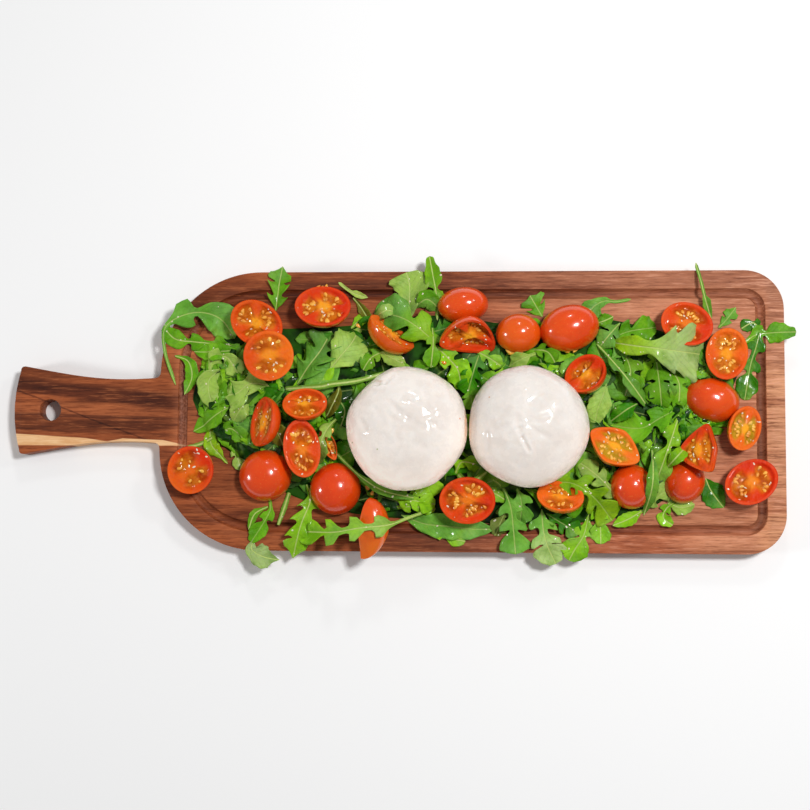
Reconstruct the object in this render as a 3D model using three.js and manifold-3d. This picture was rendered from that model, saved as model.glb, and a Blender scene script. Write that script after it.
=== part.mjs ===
// A walnut serving board with two burratas on rocket leaves and halved cherry tomatoes.
// Millimetres. X runs along the board away from its handle, Z is up, and the origin is the middle
// of the body's underside.
import * as THREE from 'three';
import { mergeVertices } from 'three/addons/utils/BufferGeometryUtils.js';
import Module from 'manifold-3d';

const wasm = await Module();
wasm.setup();

// Board
const BOARD_THICKNESS = 13;
const BODY_LENGTH = 376.8;
const BODY_WIDTH = 170;
const CORNER_RADIUS_AT_HANDLE = 61.5;
const CORNER_RADIUS_AT_FAR_END = 23.5;
const EDGE_BEVEL = 1.4;
const HANDLE_LENGTH = 90.9;
const HANDLE_ROOT_WIDTH = 39.6;
const HANDLE_WAIST_WIDTH = 38.1;
const HANDLE_END_WIDTH = 55;
const HANDLE_END_BOW = 3.3;
const HANDLE_CORNER_RADIUS = 3.5;
const HANDLE_WAIST_FROM_BODY = 21.6;
const HANDLE_FLARE_START = 22;
const HANDLE_FLARE_END = 40;
const HANDLE_FLARE_BULGE = 3.7;
const HANDLE_CORNER_EASE = 0.6;
const HANGING_HOLE_DIAMETER = 13.2;
const HANGING_HOLE_FROM_END = 22.3;
const GROOVE_FROM_EDGE = 11;
const GROOVE_WIDTH = 6;
const GROOVE_DEPTH = 2.7;
const GROOVE_CUTTER_ABOVE_TOP = 1;
// The groove's round bottom: share of its width and share of its depth
const GROOVE_PROFILE = [[0, 0], [0.18, 0.72], [0.5, 1], [0.82, 0.72], [1, 0]];

// Burratas, one shape with its own flats for each
const BURRATA_BASE_RADIUS = 22;
const BURRATA_FULLNESS = 0.8;
const BURRATA_HEIGHT = 47;
const BURRATA_LOWER_SHARE = 0.42;
const BURRATA_REST = 3;
const BURRATA_SIDES = 24;
const BURRATA_RINGS = 8;
const BURRATA_TOP_STEP = 0.6;
// Swellings round the ball: how many, how high and where each set starts
const BURRATA_SWELLINGS = [[3, 0.35, 1], [5, 0.25, -2]];

// Tomatoes: cherry tomatoes cut from stem to tip
const TOMATO_SIDES = 12;
const TOMATO_SKIN_RINGS = 4;
const TOMATO_BLUNTNESS = 0.92;
const TOMATO_WALL_SHARE = 0.84;
const LOCULE_SHARE = 0.55;
const LOCULE_DEPTH = 2.6;
const LOCULE_WALL_WAVE = [0.2, 0.7];
// How suddenly a half that was cut aslant runs out towards its end
const TRIM_CURVE = 1.4;

// Rocket
const MOUND_HEIGHT = 8;
const MOUND_STATIONS = 24;
const MOUND_COLUMNS = 6;
const MOUND_END_SLOPE = 0.35;
const MOUND_UNEVENNESS = 0.16;
const MOUND_WAVE_LENGTH = 11;
const MOUND_WAVE_ACROSS = 2.4;
const MOUND_WAVE_DRIFT = 23;
const LEAF_THICKNESS = 1.1;
const STEM_HALF_WIDTH = 1.1;
const LEAF_CLEARANCE = 0.9;
const LEAF_SINK = 0.8;
const EDGE_CLEARANCE = 0.35;
const LEAF_RIPPLE = 0.09;
const LEAF_RIPPLE_RATE = 9;
const LEAF_CUP = 0.12;
// What sets one leaf's ripple apart from another's: weights of its foot's place
const LEAF_PHASE = [0.37, 0.23];

// Pairs of side lobes: where their tips are, how wide and how far forward they reach, how narrow
// the notches between them are, and the length of the end lobe in side lobes
const LOBE_TIP_PLACE = 0.55;
const LOBE_WIDTH = 0.8;
const LOBE_WIDENING = 0.06;
const LOBE_FORWARD = 0.45;
const NOTCH_WIDTH = 0.4;
const END_LOBE_LENGTH = 1.3;

// Between a piece and the piece it presses into
const FIT_GAP = 0.3;

const DEGREE = Math.PI / 180;
const BOARD_TOP = BOARD_THICKNESS;

const finishes = {
  walnut: new THREE.MeshStandardMaterial({ color: 0x7a3f26, roughness: 0.5, metalness: 0 }),
  curd: new THREE.MeshStandardMaterial({ color: 0xf1e8e2, roughness: 0.22, metalness: 0 }),
  tomato: new THREE.MeshStandardMaterial({ color: 0xd03a1c, roughness: 0.2, metalness: 0 }),
  rocket: new THREE.MeshStandardMaterial({ color: 0x4f8a2c, roughness: 0.4, metalness: 0 }),
};

// Closed bodies

// A body skinned over rings of points, where a ring of one point is a tip. With alike set, the
// second half of every ring is split into triangles as the mirror of the first.
function ringBody(rings, { alike = false, closed = false } = {}) {
  const positions = rings.flat().flatMap((point) => [point.x, point.y, point.z]);
  const starts = rings.map((ring, i) => rings.slice(0, i).flat().length);
  const index = [];
  const spans = closed ? rings.length : rings.length - 1;
  for (let i = 0; i < spans; i += 1) {
    const next = (i + 1) % rings.length;
    const count = Math.max(rings[i].length, rings[next].length);
    for (let j = 0; j < count; j += 1) {
      const k = (j + 1) % count;
      const [a, b] = rings[i].length === 1 ? [starts[i], starts[i]] : [starts[i] + j, starts[i] + k];
      const [d, c] = rings[next].length === 1
        ? [starts[next], starts[next]]
        : [starts[next] + j, starts[next] + k];
      const halves = alike && j >= count / 2 ? [[a, b, d], [b, c, d]] : [[a, b, c], [a, c, d]];
      halves.filter(([p, q, r]) => p !== q && q !== r && r !== p).forEach((half) => index.push(...half));
    }
  }
  const geometry = new THREE.BufferGeometry();
  geometry.setAttribute('position', new THREE.Float32BufferAttribute(positions, 3));
  geometry.setIndex(signedVolume(positions, index) < 0 ? index.reverse() : index);
  geometry.computeVertexNormals();
  return geometry;
}

function signedVolume(positions, index) {
  const corner = (i) => new THREE.Vector3().fromArray(positions, index[i] * 3);
  let volume = 0;
  for (let i = 0; i < index.length; i += 3) {
    volume += corner(i).dot(corner(i + 1).cross(corner(i + 2))) / 6;
  }
  return volume;
}

function toSolid(geometry) {
  const bare = geometry.clone();
  bare.deleteAttribute('normal');
  bare.deleteAttribute('uv');
  const merged = mergeVertices(bare, 1e-4);
  return new wasm.Manifold(new wasm.Mesh({
    numProp: 3,
    vertProperties: new Float32Array(merged.attributes.position.array),
    triVerts: new Uint32Array(merged.index.array),
  }));
}

function toGeometry(solid) {
  const { vertProperties, triVerts } = solid.getMesh();
  const geometry = new THREE.BufferGeometry();
  geometry.setAttribute('position', new THREE.BufferAttribute(vertProperties, 3));
  geometry.setIndex(new THREE.BufferAttribute(triVerts, 1));
  geometry.computeVertexNormals();
  return geometry;
}

function named(name, geometry, finish) {
  const mesh = new THREE.Mesh(geometry, finish);
  mesh.name = name;
  return mesh;
}

// Board

function boardShape() {
  const end = BODY_LENGTH / 2;
  const side = BODY_WIDTH / 2;
  const near = CORNER_RADIUS_AT_HANDLE;
  const far = CORNER_RADIUS_AT_FAR_END;
  const root = HANDLE_ROOT_WIDTH / 2;
  const waist = HANDLE_WAIST_WIDTH / 2;
  const waistX = -end - HANDLE_WAIST_FROM_BODY;
  const handleEnd = -end - HANDLE_LENGTH;
  const cornerX = handleEnd + HANDLE_END_BOW;
  const cornerY = HANDLE_END_WIDTH / 2;
  const round = HANDLE_CORNER_RADIUS;

  const shape = new THREE.Shape();
  shape.moveTo(-end, side - near);
  shape.quadraticCurveTo(-end, root, -end - round, root);
  shape.quadraticCurveTo(waistX + HANDLE_WAIST_FROM_BODY / 3, waist, waistX, waist);
  shape.bezierCurveTo(
    waistX - HANDLE_FLARE_START,
    waist,
    waistX - HANDLE_FLARE_END,
    waist + HANDLE_FLARE_BULGE,
    cornerX + round,
    cornerY - HANDLE_CORNER_EASE,
  );
  shape.quadraticCurveTo(cornerX, cornerY, cornerX, cornerY - round);
  shape.quadraticCurveTo(handleEnd - HANDLE_END_BOW, 0, cornerX, round - cornerY);
  shape.quadraticCurveTo(cornerX, -cornerY, cornerX + round, HANDLE_CORNER_EASE - cornerY);
  shape.bezierCurveTo(
    waistX - HANDLE_FLARE_END,
    -waist - HANDLE_FLARE_BULGE,
    waistX - HANDLE_FLARE_START,
    -waist,
    waistX,
    -waist,
  );
  shape.quadraticCurveTo(waistX + HANDLE_WAIST_FROM_BODY / 3, -waist, -end - round, -root);
  shape.quadraticCurveTo(-end, -root, -end, near - side);
  shape.absarc(near - end, near - side, near, 180 * DEGREE, 270 * DEGREE, false);
  shape.absarc(end - far, far - side, far, 270 * DEGREE, 360 * DEGREE, false);
  shape.absarc(end - far, side - far, far, 0, 90 * DEGREE, false);
  shape.absarc(near - end, side - near, near, 90 * DEGREE, 180 * DEGREE, false);

  const hole = new THREE.Path();
  hole.absarc(handleEnd + HANGING_HOLE_FROM_END, 0, HANGING_HOLE_DIAMETER / 2, 0, 360 * DEGREE, true);
  shape.holes.push(hole);
  return shape;
}

// The body's outline moved inwards, at one height
function bodyOutline(inset, z) {
  const end = BODY_LENGTH / 2;
  const side = BODY_WIDTH / 2;
  const corners = [
    { radius: CORNER_RADIUS_AT_FAR_END, signX: 1, signY: 1, from: 0, steps: 5 },
    { radius: CORNER_RADIUS_AT_HANDLE, signX: -1, signY: 1, from: 90, steps: 8 },
    { radius: CORNER_RADIUS_AT_HANDLE, signX: -1, signY: -1, from: 180, steps: 8 },
    { radius: CORNER_RADIUS_AT_FAR_END, signX: 1, signY: -1, from: 270, steps: 5 },
  ];
  return corners.flatMap(({ radius, signX, signY, from, steps }) => (
    Array.from({ length: steps + 1 }, (_, step) => {
      const angle = (from + (90 * step) / steps) * DEGREE;
      return new THREE.Vector3(
        signX * (end - radius) + (radius - inset) * Math.cos(angle),
        signY * (side - radius) + (radius - inset) * Math.sin(angle),
        z,
      );
    })
  ));
}

// The cutter of the juice groove: a ring with a round bottom that stands out above the board
function grooveCutter() {
  const ring = (across, z) => bodyOutline(GROOVE_FROM_EDGE + across * GROOVE_WIDTH, z);
  const rings = [
    ring(0, BOARD_TOP + GROOVE_CUTTER_ABOVE_TOP),
    ...GROOVE_PROFILE.map(([across, depth]) => ring(across, BOARD_TOP - depth * GROOVE_DEPTH)),
    ring(1, BOARD_TOP + GROOVE_CUTTER_ABOVE_TOP),
  ];
  return ringBody(rings, { closed: true });
}

function servingBoard() {
  const blank = new THREE.ExtrudeGeometry(boardShape(), {
    depth: BOARD_THICKNESS - 2 * EDGE_BEVEL,
    bevelThickness: EDGE_BEVEL,
    bevelSize: EDGE_BEVEL,
    bevelOffset: -EDGE_BEVEL,
    bevelSegments: 1,
    curveSegments: 5,
  });
  blank.translate(0, 0, EDGE_BEVEL);
  const board = toSolid(blank).subtract(toSolid(grooveCutter()));
  return named('serving_board', toGeometry(board), finishes.walnut);
}

// Burratas

// flats: where the ball is pressed in, as a direction in degrees, a depth and a half spread
const burratas = [
  {
    name: 'burrata_left',
    centre: [-35.5, -12.3],
    radii: [35.9, 36.6],
    flats: [[135, 1.8, 34], [12, 0.6, 28], [-42, 1.3, 26]],
    phase: 0.4,
  },
  {
    name: 'burrata_right',
    centre: [35.5, -11.1],
    radii: [35.4, 35.9],
    flats: [[180, 0.3, 30], [62, 1, 30], [-118, 0.9, 34]],
    phase: 2.1,
  },
];

function flatDepth(angle, flats) {
  return flats.reduce((sum, [direction, depth, spread]) => {
    const away = Math.abs(((angle / DEGREE - direction + 540) % 360) - 180);
    return sum + (away < spread ? depth * Math.cos((away / spread) * 90 * DEGREE) ** 2 : 0);
  }, 0);
}

// A soft ball that has settled: fuller below its middle, flat where it rests, and a little uneven
function burrataGeometry({ radii, flats, phase }, grow = 0) {
  const lower = BURRATA_HEIGHT * BURRATA_LOWER_SHARE + grow;
  const upper = BURRATA_HEIGHT * (1 - BURRATA_LOWER_SHARE) + grow;
  const fullRadius = Math.max(...radii);
  const lowest = -Math.acos((BURRATA_BASE_RADIUS / fullRadius) ** (1 / BURRATA_FULLNESS));
  const rings = [];
  for (let i = 0; i <= BURRATA_RINGS; i += 1) {
    const rise = lowest + ((90 * DEGREE - lowest) * i) / (BURRATA_RINGS + BURRATA_TOP_STEP);
    const share = Math.cos(rise) ** BURRATA_FULLNESS;
    const height = rise < 0 ? (lower * Math.sin(rise)) / Math.sin(-lowest) : upper * Math.sin(rise);
    rings.push(Array.from({ length: BURRATA_SIDES }, (_, side) => {
      const angle = (side / BURRATA_SIDES) * 360 * DEGREE;
      const swell = BURRATA_SWELLINGS.reduce((sum, [count, swelling, start]) => (
        sum + swelling * Math.sin(count * angle + start * phase)
      ), 0);
      const pressed = (swell - flatDepth(angle, flats)) * Math.cos(rise) ** 2;
      return new THREE.Vector3(
        (radii[0] + grow + pressed) * share * Math.cos(angle),
        (radii[1] + grow + pressed) * share * Math.sin(angle),
        height + lower - grow,
      );
    }));
  }
  rings.unshift([new THREE.Vector3(0, 0, -grow)]);
  rings.push([new THREE.Vector3(0, 0, upper + lower - grow)]);
  return ringBody(rings);
}

function burrataMesh(burrata) {
  const mesh = named(burrata.name, burrataGeometry(burrata), finishes.curd);
  mesh.position.set(...burrata.centre, BOARD_TOP + BURRATA_REST);
  return mesh;
}

// Tomatoes

// Halves that were cut aslant: the end of the length that runs out narrower, or 0 for both, by how
// much it does, and how far the ends are bent to one side, as shares of half the width
const trims = {
  11: { end: -1, narrowed: 0.8, bend: -0.3 },
  13: { end: 0, narrowed: 0.1, bend: -0.5 },
  22: { end: 0, narrowed: 0.4, bend: 0 },
  25: { end: 0, narrowed: 0.45, bend: -0.6 },
  28: { end: 1, narrowed: 0.3, bend: 0 },
};

// Each row is one half: centre of its cut face (z above the board), length, width, depth, the
// direction of its length, how far its cut face is tipped over, the way it is tipped, the number of
// locules on the cut face and how far their walls are turned from its length. A half tipped right
// over lies with its skin up.
const tomatoes = [
  [-127.5, 51.5, 13, 33, 27, 12, -35, 20, -68, 3],
  [-118.6, 31, 21.5, 30, 30, 12, 10, 9, -60, 2],
  [-87.5, 62, 13.5, 34, 27, 12, -5, 20, 90, 3],
  [-45.5, 46.5, 12, 32, 24, 12, -32, 64, 50, 2],
  [-97, 2.8, 18.3, 27, 20, 11, 0, 22, 100, 2],
  [-123, -8, 17, 30, 24, 11, 80, 50, 170, 2],
  [-98.5, -24, 17, 35, 22, 11, 98, 12, 20, 2, 80],
  [-166.5, -37, 12.3, 29, 28.5, 12, 40, 8, 200, 2],
  [-122.2, -39.8, 3.5, 32, 31, 15, 20, 180, 20, 0],
  [-79.5, -47.5, 4, 30.5, 31.5, 15, 0, 180, 0, 0],
  [-58.5, -71, 10, 37, 22, 12, 67, 120, 166, 2],
  [-3.5, 64, 1.5, 31, 22, 14, -15, 176, 85, 0],
  [1, 43, 16, 34, 25, 11.5, -10, 48, -80, 3],
  [30, 45.5, 7, 27, 24, 13, 20, 160, -80, 0],
  [60.5, 49, 6, 36, 28, 15, -5, 170, -85, 0],
  [69.3, 21.2, 15, 26, 24, 12, 40, 30, 135, 2],
  [129.5, 51, 12.6, 31, 27, 12, -20, 14, 80, 2],
  [152.5, 33, 13, 31, 24.5, 12, 85, 10, 150, 2, 90],
  [144.5, 6.5, 1, 34, 27, 15, -15, 180, -15, 0],
  [162.8, -11, 11.6, 27, 20, 11, 70, 16, 0, 2],
  [166, -42.5, 12.4, 32, 26, 12, 30, 14, 120, 2, 75],
  [86.5, -22, 17, 33, 24, 11, -33, 22, 60, 2],
  [96.8, -45.3, 3, 27, 26, 15, 90, 180, 90, 0],
  [128.3, -42.5, 2, 26, 24, 14, 60, 180, 60, 0],
  [133.5, -24.2, 20, 29, 24, 12, 95, 38, 165, 2],
  [54.7, -51.3, 12.5, 28, 20, 11, -12, 28, 100, 2],
  [0, -54.5, 17, 33, 28, 13, 0, 12, -90, 3],
  [-83.5, -21.5, 9.5, 20, 9, 7, -65, 10, 60, 2],
].map(([x, y, z, length, width, depth, turn, tip, toward, locules, wallTurn = 0], i) => ({
  name: `tomato_half_${String(i + 1).padStart(2, '0')}`,
  centre: [x, y, z],
  size: { length, width, depth },
  turn,
  tip,
  toward,
  locules,
  wallTurn,
  trim: trims[i + 1] ?? { end: 0, narrowed: 0, bend: 0 },
}));

// 1 in the middle of a locule and 0 on the walls between them
function loculeShare(angle, { locules, wallTurn }) {
  const wave = Math.abs(Math.sin((locules / 2) * (angle - wallTurn * DEGREE)));
  return THREE.MathUtils.smoothstep(wave, ...LOCULE_WALL_WAVE);
}

// Half a tomato with its cut face up at z = 0
function tomatoGeometry(tomato, grow = 0) {
  const { size, locules, trim } = tomato;
  const radii = [size.length / 2 + grow, size.width / 2 + grow];
  const ring = (share, height) => Array.from({ length: TOMATO_SIDES }, (_, side) => {
    const angle = (side / TOMATO_SIDES) * 360 * DEGREE;
    const along = share * Math.cos(angle);
    const towardEnd = trim.end === 0 ? Math.abs(along) : Math.max(0, along * trim.end);
    const narrow = 1 - trim.narrowed * towardEnd ** TRIM_CURVE;
    const across = share * Math.sin(angle) * narrow + trim.bend * along ** 2;
    return new THREE.Vector3(radii[0] * along, radii[1] * across, height(angle) + grow);
  });
  const depth = size.depth + 2 * grow;
  const rings = [[new THREE.Vector3(0, 0, grow - depth)]];
  for (let i = 1; i <= TOMATO_SKIN_RINGS; i += 1) {
    const angle = (i / TOMATO_SKIN_RINGS) * 90 * DEGREE;
    rings.push(ring(Math.sin(angle) ** TOMATO_BLUNTNESS, () => -depth * Math.cos(angle)));
  }
  if (locules > 0 && grow === 0) {
    rings.push(ring(TOMATO_WALL_SHARE, () => 0));
    rings.push(ring(LOCULE_SHARE, (angle) => -LOCULE_DEPTH * loculeShare(angle, tomato)));
  }
  rings.push([new THREE.Vector3(0, 0, grow)]);
  return ringBody(rings);
}

function tomatoMesh(tomato) {
  const mesh = named(tomato.name, tomatoGeometry(tomato), finishes.tomato);
  place(mesh, tomato);
  return mesh;
}

function place(mesh, { centre, turn, tip, toward }) {
  const axis = new THREE.Vector3(-Math.sin(toward * DEGREE), Math.cos(toward * DEGREE), 0);
  const turned = new THREE.Quaternion().setFromAxisAngle(new THREE.Vector3(0, 0, 1), turn * DEGREE);
  mesh.quaternion.setFromAxisAngle(axis, tip * DEGREE).multiply(turned);
  mesh.position.set(centre[0], centre[1], BOARD_TOP + centre[2]);
}

// Rocket

// The packed heap under the leaves: place along the board, its lower and its upper edge
const moundOutline = [
  [-168, 6, 10],
  [-158, -14, 40],
  [-138, -30, 50],
  [-110, -50, 50],
  [-70, -62, 52],
  [-20, -66, 58],
  [30, -68, 52],
  [75, -66, 56],
  [108, -58, 50],
  [130, -40, 44],
  [144, -16, 42],
  [153, 4, 38],
  [160, 20, 30],
];
const moundLower = new THREE.SplineCurve(moundOutline.map(([x, lower]) => new THREE.Vector2(x, lower)));
const moundUpper = new THREE.SplineCurve(moundOutline.map(([x, , upper]) => new THREE.Vector2(x, upper)));
const moundStations = Array.from({ length: MOUND_STATIONS + 1 }, (_, i) => {
  const lower = moundLower.getPoint(i / MOUND_STATIONS);
  const upper = moundUpper.getPoint(i / MOUND_STATIONS);
  return { x: lower.x, lower: lower.y, upper: upper.y, share: i / MOUND_STATIONS };
});

// across runs from -1 on the lower edge to 1 on the upper
function moundRise(x, across, share) {
  const ends = Math.sin(THREE.MathUtils.clamp(share, 0, 1) * 180 * DEGREE) ** MOUND_END_SLOPE;
  const wave = Math.sin(x / MOUND_WAVE_LENGTH) * Math.cos(MOUND_WAVE_ACROSS * across + x / MOUND_WAVE_DRIFT);
  const uneven = 1 + MOUND_UNEVENNESS * wave;
  return MOUND_HEIGHT * ends * uneven * (1 - Math.abs(across) ** 3);
}

function moundHeight(x, y) {
  const next = moundStations.findIndex((station) => station.x > x);
  if (next <= 0) {
    return 0;
  }
  const [a, b] = [moundStations[next - 1], moundStations[next]];
  const between = (x - a.x) / (b.x - a.x);
  const lower = THREE.MathUtils.lerp(a.lower, b.lower, between);
  const upper = THREE.MathUtils.lerp(a.upper, b.upper, between);
  const across = ((y - lower) / (upper - lower)) * 2 - 1;
  if (Math.abs(across) >= 1) {
    return 0;
  }
  return moundRise(x, across, THREE.MathUtils.lerp(a.share, b.share, between));
}

function moundSolid() {
  const tip = ({ x, lower, upper }) => [new THREE.Vector3(x, (lower + upper) / 2, BOARD_TOP)];
  const rings = moundStations.slice(1, -1).map(({ x, lower, upper, share }) => (
    Array.from({ length: MOUND_COLUMNS + 1 }, (_, column) => {
      const across = (2 * column) / MOUND_COLUMNS - 1;
      const y = THREE.MathUtils.lerp(lower, upper, column / MOUND_COLUMNS);
      return new THREE.Vector3(x, y, BOARD_TOP + moundRise(x, across, share));
    })
  ));
  return toSolid(ringBody([tip(moundStations[0]), ...rings, tip(moundStations[MOUND_STATIONS])]));
}

// Each leaf: the line of its rib from the foot of the stem to the tip, width, how high it arches
// above the heap, shape, roll to one side in degrees, and the bare stem's share of the length. A
// shape is oval, blunt, fan, stem or a number of pairs of side lobes.
const heapLeaves = [
  [
    [[-179, 15.5], [-185.5, 36], [-184.5, 51.5], [-168, 59.5], [-152.5, 56.5], [-143, 44]],
    20, 6, 1, 8, 0.42,
  ],
  [[[-137.5, 38], [-152.5, 40.5], [-168, 42], [-180, 44], [-187.5, 51.5]], 11, 2, 2, -10, 0.1],
  [[[-137.5, 37], [-148.5, 35.5], [-158.5, 35.5], [-168, 36]], 11, 4, 'oval', 12, 0.12],
  [[[-148, 26], [-157, 18.5], [-157, 9.5], [-154, -0.5]], 12, 3, 'oval', -15, 0.1],
  [[[-119.5, 14.5], [-131.5, 15.5], [-139.5, 10], [-148.5, 8.5]], 17, 3, 'oval', 10, 0.1],
  [[[-143.5, 2.5], [-151.5, -2.5], [-159.5, -8.5], [-167.5, -13]], 12, 3, 'oval', 25, 0.1],
  [[[-151.5, -15.5], [-143.5, -11.5], [-135, -18.5]], 10, 2, 1, 10, 0.1],
  [[[-170.5, -22.5], [-162.5, -20.5], [-153.5, -15.5]], 2.6, 1.5, 'stem', 0, 1],
  [[[-146, -32.5], [-151, -27], [-156.5, -20], [-157, -10]], 9, 2, 'oval', 0, 0.15],
  [[[-97.5, -44.5], [-94.5, -54.5], [-100, -70.5], [-105.5, -89.5]], 15, 10, 3, -12, 0.15],
  [
    [[-19.5, -59], [-34.5, -64.5], [-46, -69], [-63, -71], [-78, -73.5], [-92, -73.5], [-105, -73]],
    15, 24, 3, 8, 0.27,
  ],
  [[[-40, -63], [-26.5, -68], [-12.5, -69.5], [1.5, -71], [16, -71]], 15, 3, 'oval', 12, 0.05],
  [[[-30, -63], [-14.5, -75], [-1.5, -78.5]], 8, 1, 2, -10, 0.1],
  [[[-80, -23], [-70.5, -31.5], [-58.5, -42.5], [-46.5, -48.5], [-31.5, -51]], 7, 8, 'oval', 10, 0.3],
  [[[-46, -53], [-34.5, -54], [-19.5, -56.5]], 13, 3, 2, -8, 0.08],
  [[[-78, -4.5], [-84, -12.5], [-88, -22.5], [-89.5, -32.5]], 10, 8, 1, 20, 0.1],
  [[[-111.5, 12.5], [-89, 13], [-81, 14.5], [-65, 17], [-46, 23.5]], 3.6, 9, 'stem', 0, 1],
  [[[-103.5, 15], [-96.5, 25.5], [-89, 36], [-83.5, 48.5]], 21, 4, 2, -8, 0.12],
  [[[-84, 23.5], [-77, 32], [-70, 41], [-66, 51.5]], 23, 5, 'oval', 10, 0.1],
  [[[-55, 36], [-46, 31], [-37, 26.5]], 9, 4, 'oval', -20, 0.1],
  [[[-19, 40], [-30, 49], [-42, 56], [-57.5, 59.5]], 25, 12, 1, 8, 0.06],
  [[[-37, 53], [-36, 66], [-36, 76.5], [-38, 84.5]], 23, 3, 'blunt', 0, 0.12],
  [[[-19, 55], [-19.5, 70], [-22, 83.5], [-24, 94.5]], 13, 4, 2, 10, 0.1],
  [[[-33.5, 62], [-25, 67], [-17, 61]], 11, 7, 'oval', 25, 0.1],
  [[[-22, 51], [-21, 40], [-22.5, 25.5]], 10, 5, 1, -20, 0.1],
  [[[-21, 40], [-12.5, 31.5], [-6, 23.5], [-4, 12]], 15, 5, 1, 10, 0.12],
  [[[7.5, 36], [4, 25.5], [-0.5, 9]], 14, 3, 2, -10, 0.1],
  [[[41.5, 34.5], [32, 30.5], [24, 26]], 9, 4, 'oval', -12, 0.25],
  [[[37, 36.5], [47, 35], [52, 28.5]], 10, 3, 1, 15, 0.1],
  [[[91, 53], [85, 46], [78.5, 38]], 13, 5, 1, 15, 0.08],
  [[[85.5, 43], [96, 47.5], [112.5, 50.5]], 15, 3, 1, -5, 0.08],
  [[[85, 41], [100, 37], [114, 35], [125.5, 34], [140, 33.5]], 31, 17, 'fan', 14, 0.04],
  [[[76.5, 40.5], [86.5, 27.5], [96, 15.5], [106.5, 2]], 8, 9, 1, -20, 0.15],
  [[[93, 34.5], [96.5, 22.5], [93, 8]], 17, 3, 1, 12, 0.1],
  [[[83, 16.5], [79.5, 7], [76.5, -1.5], [75.5, -10]], 13, 4, 'oval', -10, 0.1],
  [[[112, 30.5], [113, 17.5], [115, 0.5]], 17, 6, 2, 15, 0.06],
  [[[119.5, 26.5], [125, 15.5], [124.5, 0.5]], 13, 4, 1, -15, 0.1],
  [[[125, 1.5], [113.5, -5], [102, -11], [85, -9]], 18, 4, 1, 8, 0.05],
  [[[125.5, -1.5], [121, -14], [116, -28], [110, -47]], 13, 8, 1, -12, 0.06],
  [[[107, -23], [106, -33.5], [104.5, -47.5], [102, -62.5]], 12, 17, 1, 10, 0.12],
  [[[115, -37], [122, -28.5], [130, -20.5]], 8, 13, 'oval', -20, 0.15],
  [[[101.5, -57.5], [110.5, -52.5], [118, -48], [127.5, -52.5]], 12, 4, 1, 10, 0.1],
  [[[118.5, -55], [126.5, -57.5], [134.5, -55.5]], 9, 1, 'oval', -15, 0.1],
  [[[124, -53.5], [118, -58], [116, -63.5], [121.5, -68]], 8, 1, 1, 10, 0.15],
  [[[104.5, -59], [95.5, -64.5], [86, -68.5]], 8, 2, 'oval', 10, 0.1],
  [[[14, -41], [21, -47], [25.5, -58], [27, -69.5], [28.5, -86]], 18, 5, 2, -8, 0.3],
  [[[29, -46.5], [32, -55.5], [31, -68]], 14, 4, 1, 12, 0.1],
  [[[26, -56.5], [18, -51], [10, -47]], 8, 4, 'oval', 10, 0.12],
  [[[25, -54], [21, -63.5], [16, -75]], 11, 2, 1, -10, 0.1],
  [[[44, -59], [45, -71.5], [47.5, -81], [52.5, -91.5]], 19, 3, 1, 8, 0.08],
  [[[72, -62], [69, -74], [63.5, -83], [60, -89.5]], 16, 2, 'oval', -8, 0.08],
  [[[48.5, -43], [62.5, -44], [75, -52.5], [86, -65.5]], 17, 8, 1, 10, 0.06],
  [[[76, -53.5], [78.5, -65.5], [79, -79.5]], 12, 2, 1, -10, 0.08],
  [[[91, -55], [82, -44.5], [74.5, -37.5], [66, -31]], 11, 6, 1, 15, 0.08],
  [[[-7.5, -39], [-3.5, -31.5], [7.5, -33.5]], 9, 4, 1, 20, 0.1],
  [[[-70.5, 69], [-65.5, 63], [-57, 49]], 6, 2, 'oval', 15, 0.1],
];

// Leaves that lie apart from the heap, each of one to three joined blades
const looseLeaves = [
  [[[[-180, 33.5], [-171.5, 30], [-169, 20], [-173.5, 9.5]], 8, 0.6, 'oval', 10, 0.1]],
  [
    [[[-120, -53.5], [-119.5, -60.5], [-124.5, -70], [-131, -80]], 10, 0.6, 1, 0, 0.12],
    [[[-121, -58.5], [-129, -63], [-132.5, -72.5]], 5, 0.6, 'oval', 0, 0.1],
    [[[-128.5, -77.5], [-130.5, -84], [-123.5, -88.5], [-113.5, -90.5]], 15, 0.8, 'oval', 0, 0.1],
  ],
  [[[[141, -40], [144.5, -48], [151.5, -57.5]], 14, 0.6, 'oval', 0, 0.04]],
  [[[[149.5, 50], [154, 54.5], [160, 62.5]], 9, 0.6, 1, 0, 0.12]],
  [[[[136.5, 89.5], [138.5, 78.5], [141, 67.5], [145.5, 55.5]], 5, 8, 'oval', 0, 0.55]],
  [
    [[[164.5, 40], [171, 45.5], [181.5, 47], [195.5, 47.5]], 12, 0.8, 1, 0, 0.05],
    [[[174.5, 49], [171.5, 38], [168, 26.5], [164.5, 6.5]], 13, 0.6, 2, 0, 0.05],
    [[[174.5, 48.5], [170, 53], [163, 49.5]], 8, 0.6, 1, 0, 0.05],
  ],
  [[[[-118, 61], [-117, 68.5], [-116, 77.5], [-114, 88.5]], 15, 0.6, 2, 0, 0.08]],
  [[[[-79.5, 78.5], [-71.5, 72.5], [-61.5, 69]], 4, 0.6, 'oval', 0, 0.4]],
  [[[[97.5, 67.5], [89, 66], [82, 66.5], [76, 63.5], [71, 57.5]], 11, 0.6, 'blunt', 0, 0.45]],
  [[[[44.5, 57], [41, 63], [37, 70]], 16, 0.6, 1, 0, 0.1]],
];

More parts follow.
